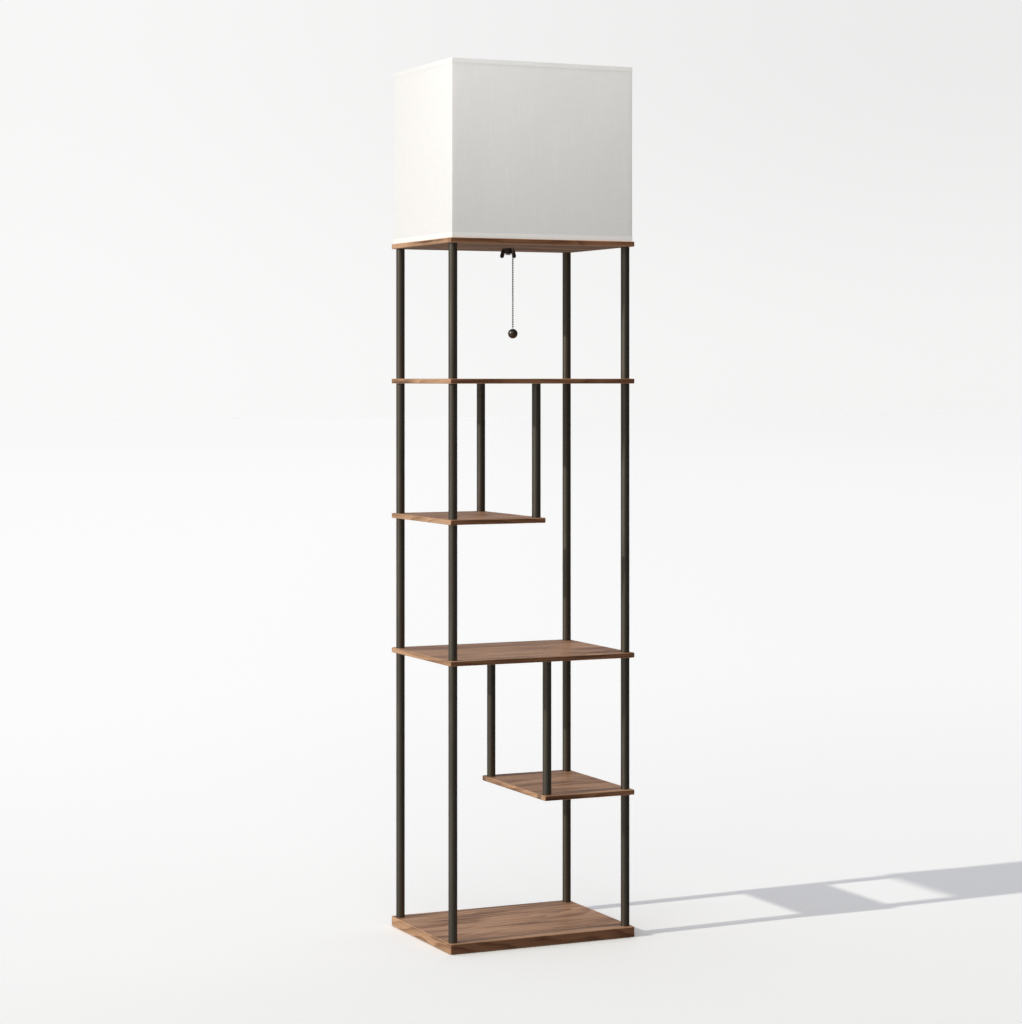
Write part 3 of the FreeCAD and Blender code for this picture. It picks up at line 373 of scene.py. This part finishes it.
def screw_threads(name, axis, bottom, top, outside, bore, pitch, depth):
    """A pipe with a rolled outside thread: its wall rises and falls along a helix."""
    around, steps = 40, 8
    rows = int((top - bottom) / pitch * steps)
    verts = []
    for row in range(rows + 1):
        height = bottom + (top - bottom) * row / rows
        ends = min(height - bottom, top - height)
        for turn in range(around):
            angle = 2 * math.pi * turn / around
            phase = (height / pitch - turn / around) % 1.0
            groove = depth * (1 - abs(2 * phase - 1)) + max(0.0, depth - ends)
            radius = outside - min(groove, depth)
            verts.append((axis[0] + radius * math.cos(angle), axis[1] + radius * math.sin(angle),
                          height))
    for height in (top, bottom):
        for turn in range(around):
            angle = 2 * math.pi * turn / around
            verts.append((axis[0] + bore * math.cos(angle), axis[1] + bore * math.sin(angle),
                          height))
    faces = []
    for row in range(rows + 2):
        for turn in range(around):
            after = (turn + 1) % around
            faces.append((row * around + turn, row * around + after,
                          (row + 1) * around + after, (row + 1) * around + turn))
    last = (rows + 2) * around
    for turn in range(around):
        after = (turn + 1) % around
        faces.append((last + turn, last + after, after, turn))
    return shape_from(name, verts, faces)


low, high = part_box("lamp_pipe")
pipe = screw_threads("threaded_pipe", HOLDER_AXIS, low.z, high.z, outside=0.00499, bore=0.0032,
                     pitch=0.0015, depth=0.0006)
pipe.data.materials.append(zinc_steel)
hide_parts("lamp_pipe")
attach(pipe, "frame")
dress("wing_nut_washer", tube_bronze)

# ---------------------------------------------------------------- wing nut
# One piece of cast metal, dark bronze like the tubes: a tapered hub with two wings that point
# down and out. The casting leaves every edge rounded and the skin a little grainy.


def cast_copy(name, node_name, voxel, rounds):
    """A CAD piece as it comes from the mould: the same form with its edges worn round."""
    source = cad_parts[node_name]
    piece = bpy.data.objects.new(name, source.data.copy())
    bpy.context.scene.collection.objects.link(piece)
    piece.data.materials.clear()
    weld = bmesh.new()
    weld.from_mesh(piece.data)
    bmesh.ops.remove_doubles(weld, verts=weld.verts, dist=1e-7)
    weld.to_mesh(piece.data)
    weld.free()
    remesh = piece.modifiers.new("casting", "REMESH")
    remesh.mode = "VOXEL"
    remesh.voxel_size = voxel
    remesh.use_smooth_shade = True
    smooth = piece.modifiers.new("rounding", "SMOOTH")
    smooth.iterations = rounds
    smooth.factor = 0.5
    graph = bpy.context.evaluated_depsgraph_get()
    mesh = bpy.data.meshes.new_from_object(piece.evaluated_get(graph))
    piece.modifiers.clear()
    piece.data = mesh
    for face in mesh.polygons:
        face.use_smooth = True
    return piece


cast_bronze = lacquered_metal("cast_bronze", (0.028, 0.02, 0.015), (0.1, 0.075, 0.055),
                              smoothest=0.34, metallic=0.55, peel_depth=0.00005)
nut = cast_copy("cast_wing_nut", "wing_nut", voxel=0.0003, rounds=5)
nut.data.materials.append(cast_bronze)
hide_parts("wing_nut")
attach(nut, "wing_nut")

# ---------------------------------------------------------------- lamp holder
# A moulded black foot carries a brass shell with a fibre sleeve in it. Inside are the moulded
# switch base with its lever and rotor, the chain guide, and the brass thread for the bulb.


def moulded(name, colour, smoothest, grain=0.00002):
    """Moulded plastic: an even colour with faint flow marks and a fine spark-eroded skin."""
    material, tree, shader = new_material(name, colour, Roughness=smoothest)
    where = own_place(tree)
    flow = stretched_noise(tree, where, (90.0, 90.0, 90.0))
    skin = stretched_noise(tree, where, (2600.0, 2600.0, 2600.0), detail=2.0)
    paler = tuple(min(1.0, level * 1.18 + 0.006) for level in colour)
    tree.links.new(mix_colours(tree, flow, (*colour, 1.0), (*paler, 1.0)),
                   shader.inputs["Base Color"])
    tree.links.new(spread(tree, skin, 0.3, 0.7, smoothest - 0.06, smoothest + 0.1),
                   shader.inputs["Roughness"])
    add_bump(tree, shader, skin, grain)
    return material


black_moulding = moulded("black_moulding", (0.018, 0.018, 0.019), 0.38)
white_moulding = moulded("white_moulding", (0.78, 0.77, 0.73), 0.45)
brass = plated_metal("plain_brass", (0.78, 0.57, 0.26), (0.55, 0.38, 0.17), 0.24)

fibre, tree, shader = new_material("pressed_fibre", (0.3, 0.19, 0.1), Roughness=0.85)
strands = stretched_noise(tree, own_place(tree), (900.0, 900.0, 250.0), detail=5.0)
tree.links.new(mix_colours(tree, strands, (0.2, 0.12, 0.06, 1.0), (0.42, 0.29, 0.17, 1.0)),
               shader.inputs["Base Color"])
add_bump(tree, shader, strands, 0.0001)

for node_name in ("holder_foot", "switch_base"):
    dress(node_name, black_moulding)
for node_name in ("holder_shell", "chain_guide", "screw_shell", "centre_contact"):
    dress(node_name, brass)
for node_name in ("pull_lever", "return_spring", "bulb_tip", "bulb_cap"):
    dress(node_name, zinc_steel)
dress("insulating_sleeve", fibre)
dress("switch_rotor", white_moulding)

# ---------------------------------------------------------------- bulb
# A lamp bulb with a white moulded housing and an opal plastic globe, clipped into its rim.

opal, tree, shader = new_material("opal_globe", (0.9, 0.89, 0.85), Roughness=0.36,
                                  Subsurface_Weight=0.25, Subsurface_Scale=0.004)
where = own_place(tree)
milk = stretched_noise(tree, where, (45.0, 45.0, 45.0))
tree.links.new(mix_colours(tree, milk, (0.86, 0.85, 0.81, 1.0), (0.93, 0.92, 0.89, 1.0)),
               shader.inputs["Base Color"])
add_bump(tree, shader, stretched_noise(tree, where, (1800.0, 1800.0, 1800.0)), 0.00002)
dress("bulb_globe", opal)
dress("bulb_housing", white_moulding)

# ---------------------------------------------------------------- pull chain
# Nickel-plated ball chain: hollow beads on short wire links. The top run hangs from a large
# bead on the switch lever and passes the board; the bead under the board is where it bends.

CHAIN_AXIS = (0.0, -0.004)
SWIVEL_HEIGHT = 1.2655
BEAD_RADIUS = 0.0016
BEAD_PITCH = 0.00417
BEADS_ABOVE = 8
BEADS_BELOW = 34
STOP_BEAD = (1.3099, 0.0026)
WIRE_RADIUS = 0.00055
WIRE_GAP = 0.0003
WIRE_END = 1.1155


def turned_piece(name, axis, profile, around):
    """A solid turned about an upright axis; its profile runs from one end to the other."""
    verts = [(axis[0], axis[1], profile[0][1])]
    for radius, height in profile:
        for turn in range(around):
            angle = 2 * math.pi * turn / around
            verts.append((axis[0] + radius * math.cos(angle), axis[1] + radius * math.sin(angle),
                          height))
    verts.append((axis[0], axis[1], profile[-1][1]))
    faces = []
    for turn in range(around):
        after = (turn + 1) % around
        faces.append((0, 1 + turn, 1 + after))
        for row in range(len(profile) - 1):
            start = 1 + row * around
            faces.append((start + turn, start + around + turn, start + around + after,
                          start + after))
        start = 1 + (len(profile) - 1) * around
        faces.append((start + turn, len(verts) - 1, start + after))
    return shape_from(name, verts, faces)


def bead_profile(height, radius):
    """One hollow bead from its lower to its upper neck, with a small rolled lip at each."""
    neck = 66
    points = []
    for step in range(11):
        lean = math.radians(-neck + 2 * neck * step / 10)
        points.append((radius * math.cos(lean), height + radius * math.sin(lean)))
    lip = radius * math.cos(math.radians(neck)) * 0.8
    reach = radius * math.sin(math.radians(neck)) + radius * 0.05
    return [(lip, height - reach), *points, (lip, height + reach)]


def bead_run(name, beads, bottom, top):
    """A run of beads from the lowest up, strung on wire between two heights."""
    profile = [] if bottom is None else [(WIRE_RADIUS, bottom)]
    for index, (height, radius) in enumerate(beads):
        shape = bead_profile(height, radius)
        if index or bottom is not None:
            profile.append((WIRE_RADIUS, shape[0][1]))
        profile.extend(shape)
        if index < len(beads) - 1 or top is not None:
            profile.append((WIRE_RADIUS, shape[-1][1]))
    if top is not None:
        profile.append((WIRE_RADIUS, top))
    return turned_piece(name, CHAIN_AXIS, profile, 16)


nickel = plated_metal("dull_nickel", (0.34, 0.325, 0.3), (0.2, 0.19, 0.17), 0.3)
upper_beads = [(SWIVEL_HEIGHT + step * BEAD_PITCH, BEAD_RADIUS)
               for step in range(1, BEADS_ABOVE + 1)]
upper_beads.append(STOP_BEAD)
hanging_beads = [(SWIVEL_HEIGHT - step * BEAD_PITCH, BEAD_RADIUS)
                 for step in range(BEADS_BELOW, 0, -1)]
chain_pieces = (
    ("chain_above", upper_beads, SWIVEL_HEIGHT + BEAD_RADIUS + WIRE_GAP, None, "chain_upper",
     "chain_top"),
    ("chain_bend", [(SWIVEL_HEIGHT, BEAD_RADIUS)], None, None, "chain_swivel", "chain_link"),
    ("chain_below", hanging_beads, WIRE_END, SWIVEL_HEIGHT - BEAD_RADIUS - WIRE_GAP,
     "pull_chain", "chain"),
)
for name, beads, bottom, top, node_name, body in chain_pieces:
    run = bead_run(name, beads, bottom, top)
    run.data.materials.append(nickel)
    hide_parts(node_name)
    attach(run, body)

# ---------------------------------------------------------------- pull ball
# A turned metal ball with the tubes' dark bronze finish, drilled for the chain's end and
# slightly flattened round the drilling.

BALL_RADIUS = 0.009
BALL_CENTRE = SWIVEL_HEIGHT - (BEADS_BELOW + 1) * BEAD_PITCH - BALL_RADIUS
BOTTOM_LEAN, FLAT_LEAN = -89, 79
profile = []
for step in range(31):
    lean = math.radians(BOTTOM_LEAN + (FLAT_LEAN - BOTTOM_LEAN) * step / 30)
    profile.append((BALL_RADIUS * math.cos(lean), BALL_CENTRE + BALL_RADIUS * math.sin(lean)))
# The drilling's edge, its throat and its bottom: each a radius and a rise from the one before.
for radius, rise in ((0.0012, 0.00005), (0.0009, -0.0004), (0.0008, -0.003)):
    profile.append((radius, profile[-1][1] + rise))
ball = turned_piece("turned_ball", CHAIN_AXIS, profile, 48)
ball_bronze = lacquered_metal("ball_bronze", (0.11, 0.096, 0.08), (0.16, 0.14, 0.118),
                              smoothest=0.24, metallic=0.85)
ball.data.materials.append(ball_bronze)
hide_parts("pull_ball")
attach(ball, "chain")

# ---------------------------------------------------------------- cord bush
# A black moulded bush, pressed into the top board from above, for the mains cord.

dress("cord_bush", black_moulding)

# ---------------------------------------------------------------- shade rings
# White-coated wire: a rectangle in the top hem, and one in the bottom with four flat arms to
# a centre plate that is clamped under the lamp holder.

white_wire = lacquered_metal("white_coated_wire", (0.8, 0.79, 0.76), (0.7, 0.69, 0.65),
                             smoothest=0.4, metallic=0.0)
dress("shade_top_ring", white_wire)
dress("shade_fitter", white_wire)

# ---------------------------------------------------------------- shade liner
# Stiff white film, scored and folded at the corners, that the fabric is bonded to.

film, tree, shader = new_material("liner_film", (0.84, 0.83, 0.8), Roughness=0.5)
where = own_place(tree)
ripple = stretched_noise(tree, where, (14.0, 14.0, 5.0))
dimples = stretched_noise(tree, where, (500.0, 500.0, 500.0), detail=2.0)
tree.links.new(mix_colours(tree, ripple, (0.81, 0.8, 0.765, 1.0), (0.87, 0.86, 0.83, 1.0)),
               shader.inputs["Base Color"])
tree.links.new(spread(tree, dimples, 0.3, 0.7, 0.42, 0.58), shader.inputs["Roughness"])
add_bump(tree, shader, ripple, 0.0004)
for side in ("front", "back", "left", "right"):
    dress("shade_liner_" + side, film)

# ---------------------------------------------------------------- shade cover
# Fine off-white cotton, bonded to the liner and drawn tight round it. It follows the liner with
# the slightest waver, and its ends overlap in a seam near the back left corner.

HALF_WIDTH = 0.181
HALF_DEPTH = 0.137
FOLD_RADIUS = 0.0012
CLOTH = 0.0006
SEAM_LEFT, SEAM_RIGHT = -0.172, -0.162


def fold_line(spacing):
    """Points with their outward directions, round the shade with its rounded corners."""
    inner_x, inner_y = HALF_WIDTH - FOLD_RADIUS, HALF_DEPTH - FOLD_RADIUS
    points = []
    corners = ((1, -1, -90), (1, 1, 0), (-1, 1, 90), (-1, -1, 180))
    for index, (side_x, side_y, start) in enumerate(corners):
        centre = Vector((side_x * inner_x, side_y * inner_y))
        for step in range(6):
            angle = math.radians(start + 90 * step / 5)
            outward = Vector((math.cos(angle), math.sin(angle)))
            points.append((centre + outward * FOLD_RADIUS, outward))
        after = corners[(index + 1) % 4]
        end = Vector((after[0] * inner_x, after[1] * inner_y))
        outward = Vector((math.cos(math.radians(start + 90)), math.sin(math.radians(start + 90))))
        run = end - centre
        pieces = max(2, int(run.length / spacing))
        for step in range(1, pieces):
            points.append((centre + run * step / pieces + outward * FOLD_RADIUS, outward))
    return points


def drawn_cloth(name, line, bottom, top, rows, thickness, waver, seam):
    """A closed band of cloth: an outer and an inner skin, joined at its two edges."""
    verts = []
    for skin in (0.0, thickness):
        for row in range(rows + 1):
            height = bottom + (top - bottom) * row / rows
            slack = math.sin(math.pi * row / rows)
            for point, outward in line:
                lift = 0.0
                if skin == 0.0:
                    ripple = noise.noise(Vector((point.x * 14, point.y * 14, height * 9)))
                    lift = waver * slack * (ripple - 0.6)
                    at_back = point.y > HALF_DEPTH - 0.0001
                    lift += seam * (at_back and SEAM_LEFT < point.x < SEAM_RIGHT)
                place = point + outward * (lift - skin)
                verts.append((place.x, place.y, height))
    count = len(line)
    skin_size = (rows + 1) * count
    faces = []
    for turn in range(count):
        after = (turn + 1) % count
        for row in range(rows):
            low, high = row * count, (row + 1) * count
            faces.append((low + turn, low + after, high + after, high + turn))
            faces.append((skin_size + low + after, skin_size + low + turn,
                          skin_size + high + turn, skin_size + high + after))
        last = rows * count
        faces.append((turn, skin_size + turn, skin_size + after, after))
        faces.append((last + turn, last + after, skin_size + last + after,
                      skin_size + last + turn))
    return shape_from(name, verts, faces)


def build_plain_weave():
    """Plain weave seen close: warp and weft threads, thicker slubs, and soft shadowing."""
    group, given, result = new_group(
        "Plain weave",
        [("Thread", "NodeSocketColor", (0.87, 0.86, 0.83, 1.0)),
         ("Gap", "NodeSocketColor", (0.78, 0.765, 0.73, 1.0)),
         ("Threads per metre", "NodeSocketFloat", 1900.0)],
        [("Colour", "NodeSocketColor"), ("Height", "NodeSocketFloat")],
    )
    where = own_place(group)
    place = add_node(group, "ShaderNodeSeparateXYZ", {0: where})
    across = calculate(group, "ADD", place.outputs[0], place.outputs[1])
    turns = calculate(group, "MULTIPLY", given.outputs["Threads per metre"], math.pi)
    warp = calculate(group, "SINE", calculate(group, "MULTIPLY", across, turns))
    weft = calculate(group, "SINE", calculate(group, "MULTIPLY", place.outputs[2], turns))
    cloth = calculate(group, "ABSOLUTE", calculate(group, "MULTIPLY", warp, weft))
    slubs_up = stretched_noise(group, where, (420.0, 420.0, 22.0))
    slubs_across = stretched_noise(group, where, (22.0, 22.0, 420.0))
    slubs = calculate(group, "MAXIMUM", slubs_up, slubs_across)
    share = weigh(group, (cloth, 0.35), (spread(group, slubs, 0.5, 0.8, 0.0, 0.6), 1.0))
    give(group, result,
         Colour=mix_colours(group, share, given.outputs["Gap"], given.outputs["Thread"]),
         Height=calculate(group, "ADD", cloth, slubs))
    return group


plain_weave = build_plain_weave()


def woven(name, thread, gap, threads_per_metre):
    material, tree, shader = new_material(name, thread, Roughness=0.92, Sheen_Weight=0.15,
                                          Sheen_Roughness=0.5)
    weave = use_group(tree, plain_weave, Thread=(*thread, 1.0), Gap=(*gap, 1.0),
                      Threads_per_metre=threads_per_metre)
    coat(tree, shader, weave, 0.00008)
    return material


cotton = woven("shade_cotton", (0.86, 0.845, 0.815), (0.78, 0.762, 0.73), 1900.0)
low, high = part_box("shade_cover")
cover = drawn_cloth("cotton_cover", fold_line(0.006), low.z, high.z, rows=48, thickness=CLOTH,
                    waver=0.0004, seam=0.0003)
cover.data.materials.append(cotton)
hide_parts("shade_cover")
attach(cover, "frame")

# ---------------------------------------------------------------- shade hems
# Cotton tape folded over both edges of the wall and glued down. The top one also hides the
# wire ring, so its inner leg stands off the liner.


def swept_tape(name, section):
    """Tape with one cross-section swept round the shade; its points are (inset, height)."""
    verts = []
    faces = []
    count = len(section)
    line = fold_line(0.012)
    for index, (point, outward) in enumerate(line):
        for inset, height in section:
            if inset > FOLD_RADIUS:
                inner_x, inner_y = HALF_WIDTH - inset, HALF_DEPTH - inset
                verts.append((max(-inner_x, min(inner_x, point.x)),
                              max(-inner_y, min(inner_y, point.y)), height))
            else:
                place = point - outward * inset
                verts.append((place.x, place.y, height))
        for step in range(count):
            after = (step + 1) % count
            following = ((index + 1) % len(line)) * count
            faces.append((index * count + step, index * count + after, following + after,
                          following + step))
    return shape_from(name, verts, faces, smooth=False)


TAPE = 0.0004
RIM_LOW, RIM_HIGH = 1.279, 1.6
low_section = [(-TAPE, RIM_LOW + 0.0002), (-0.0001, RIM_LOW), (0.0015, RIM_LOW),
               (0.0015, RIM_LOW + 0.00035), (0.0, RIM_LOW + 0.0004), (0.0, RIM_LOW + 0.0089),
               (-0.0003, RIM_LOW + 0.009), (-TAPE, RIM_LOW + 0.0087)]
high_section = [(-TAPE, RIM_HIGH - 0.0003), (-TAPE, RIM_HIGH - 0.0087),
                (-0.0003, RIM_HIGH - 0.009), (0.0, RIM_HIGH - 0.0089), (0.0, RIM_HIGH - TAPE),
                (0.0047, RIM_HIGH - TAPE), (0.0048, RIM_HIGH - 0.0049), (0.0051, RIM_HIGH - 0.005),
                (0.0051, RIM_HIGH - 0.0006), (0.0045, RIM_HIGH), (0.0, RIM_HIGH)]
lower_hem = swept_tape("lower_hem", low_section)
upper_hem = swept_tape("upper_hem", high_section)
for hem, tape_cotton in (
    (lower_hem, woven("lower_hem_tape", (0.94, 0.92, 0.89), (0.88, 0.86, 0.825), 1500.0)),
    (upper_hem, woven("upper_hem_tape", (0.86, 0.845, 0.815), (0.79, 0.773, 0.74), 1500.0)),
):
    hem.data.materials.append(tape_cotton)
    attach(hem, "frame")
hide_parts("shade_hems")
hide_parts("shade_hems")

# ---------------------------------------------------------------- studio
# A pale floor that runs back to a pale background, both with painted light that is paler on the
# left, a low sun from the left, two small soft lights in front of the shade, and even light that
# is weaker from the right.

FLOOR_REACH = 60
CAMERA_RIGHT = (0.908, -0.419, 0.0)
floor_mesh = bpy.data.meshes.new("studio_floor")
floor_mesh.from_pydata([(side_x * FLOOR_REACH, side_y * FLOOR_REACH, 0)
                        for side_x, side_y in ((-1, -1), (1, -1), (1, 1), (-1, 1))], [],
                       [(0, 1, 2, 3)])
floor = bpy.data.objects.new("studio_floor", floor_mesh)
bpy.context.scene.collection.objects.link(floor)

# The floor is painted with light. As the camera sees it, it is paler to the left and towards the
# back, and darker near the camera and far off. In reflections it is painted bright to the left and
# dim to the right.
floor_paint = bpy.data.materials.new("studio_floor_paint")
floor_paint.use_nodes = True
tree = floor_paint.node_tree
tree.nodes.clear()
seen = add_node(tree, "ShaderNodeLightPath")
where = own_place(tree)
across = add_node(tree, "ShaderNodeVectorMath", {0: where, 1: CAMERA_RIGHT},
                  operation="DOT_PRODUCT").outputs["Value"]
deep = add_node(tree, "ShaderNodeSeparateXYZ", {0: where}).outputs[1]
level = calculate(tree, "MULTIPLY", spread(tree, across, -1.6, 1.3, 1.272, 1.232),
                  spread(tree, deep, -1.5, 4.0, 0.945, 1.032))
distance = calculate(tree, "MULTIPLY", spread(tree, across, 1.5, 8.0, 1.0, 0.986),
                     spread(tree, deep, 6.0, 45.0, 1.0, 0.974))
level = calculate(tree, "MULTIPLY", level, distance)
bluish = calculate(tree, "MULTIPLY", level, 0.978)
bright = add_node(tree, "ShaderNodeCombineXYZ", {0: level, 1: level, 2: bluish})
mirrored = spread(tree, across, -0.9, 0.5, 0.7, 0.15)
dimmed = add_node(tree, "ShaderNodeCombineXYZ", {0: mirrored, 1: mirrored, 2: mirrored})
shown = mix_colours(tree, seen.outputs["Is Glossy Ray"], (0.8, 0.8, 0.8, 1.0), dimmed.outputs[0])
shown = mix_colours(tree, seen.outputs["Is Camera Ray"], shown, bright.outputs[0])
paint = add_node(tree, "ShaderNodeBsdfDiffuse", {"Color": shown})
add_node(tree, "ShaderNodeOutputMaterial", {0: paint.outputs[0]})
floor_mesh.materials.append(floor_paint)

world = bpy.data.worlds.new("studio_world")
bpy.context.scene.world = world
world.use_nodes = True
tree = world.node_tree
tree.nodes.clear()
seen = add_node(tree, "ShaderNodeLightPath")
heading = add_node(tree, "ShaderNodeTexCoord").outputs["Generated"]
rightward, backward, upward = add_node(tree, "ShaderNodeSeparateXYZ", {0: heading}).outputs
reflected = calculate(tree, "MAXIMUM", seen.outputs["Is Glossy Ray"],
                      seen.outputs["Is Transmission Ray"])
ambient = spread(tree, backward, -0.3, 0.5, spread(tree, rightward, -0.8, 0.6, 0.62, 0.12), 0.66)
mirrored = spread(tree, backward, -0.1, 0.5, spread(tree, rightward, -0.95, 0.1, 0.42, 0.03),
                  0.25)
# The background the camera sees is painted light: paler on the left and near the horizon, darker
# to the right and upwards.
backdrop = spread(tree, upward, 0.0, 0.13,
                  spread(tree, rightward, 0.24, 0.58, 0.95, 0.9),
                  spread(tree, rightward, 0.24, 0.58, 0.93, 0.835))
strength = add_node(tree, "ShaderNodeMix", {0: reflected, 2: ambient, 3: mirrored},
                    data_type="FLOAT").outputs[0]
strength = add_node(tree, "ShaderNodeMix", {0: seen.outputs["Is Camera Ray"], 2: strength,
                                            3: backdrop}, data_type="FLOAT").outputs[0]
cool = calculate(tree, "MULTIPLY", spread(tree, backward, -0.3, 0.5),
                 calculate(tree, "SUBTRACT", 1.0, seen.outputs["Is Camera Ray"]))
hue = mix_colours(tree, cool, (1.0, 1.0, 0.995, 1.0), (0.96, 0.98, 1.1, 1.0))
sky = add_node(tree, "ShaderNodeBackground", {0: hue, 1: strength})
add_node(tree, "ShaderNodeOutputWorld", {0: sky.outputs[0]})


def add_lamp(name, kind, place, direction, **settings):
    light = bpy.data.lights.new(name, kind)
    for title, value in settings.items():
        setattr(light, title, value)
    lamp = bpy.data.objects.new(name, light)
    bpy.context.scene.collection.objects.link(lamp)
    lamp.location = place
    lamp.rotation_euler = Vector(direction).to_track_quat("-Z", "Y").to_euler()


SUN_RISE = math.radians(24.7)
SUN_TURN = math.radians(2.6)
add_lamp("low_sun", "SUN", (-3, 0, 3),
         (math.cos(SUN_TURN) * math.cos(SUN_RISE), math.sin(SUN_TURN) * math.cos(SUN_RISE),
          -math.sin(SUN_RISE)),
         energy=2.02, angle=math.radians(1.0), color=(1.0, 0.985, 0.925))
add_lamp("left_softbox", "AREA", (-0.4, -0.55, 1.85), (0.36, 0.41, -0.4), energy=0.68, size=0.35,
         spread=math.radians(110.0))
add_lamp("right_softbox", "AREA", (0.35, -0.4, 1.9), (-0.32, 0.26, -0.45), energy=0.36, size=0.35,
         spread=math.radians(110.0))

# ---------------------------------------------------------------- camera
# Level, a metre off the floor, from the left of the front, with a long lens.

camera_data = bpy.data.cameras.new("camera")
camera_data.sensor_fit = "VERTICAL"
camera_data.sensor_height = 36
camera_data.lens = 93.34
camera_data.shift_y = -0.13067
camera_data.clip_end = 200
camera = bpy.data.objects.new("camera", camera_data)
bpy.context.scene.collection.objects.link(camera)
camera.location = (-2.0665, -4.4787, 1.02785)
camera.rotation_euler = Vector((0.41866, 0.90815, 0.0)).to_track_quat("-Z", "Y").to_euler()
bpy.context.scene.camera = camera
bpy.context.scene.view_settings.view_transform = "Standard"
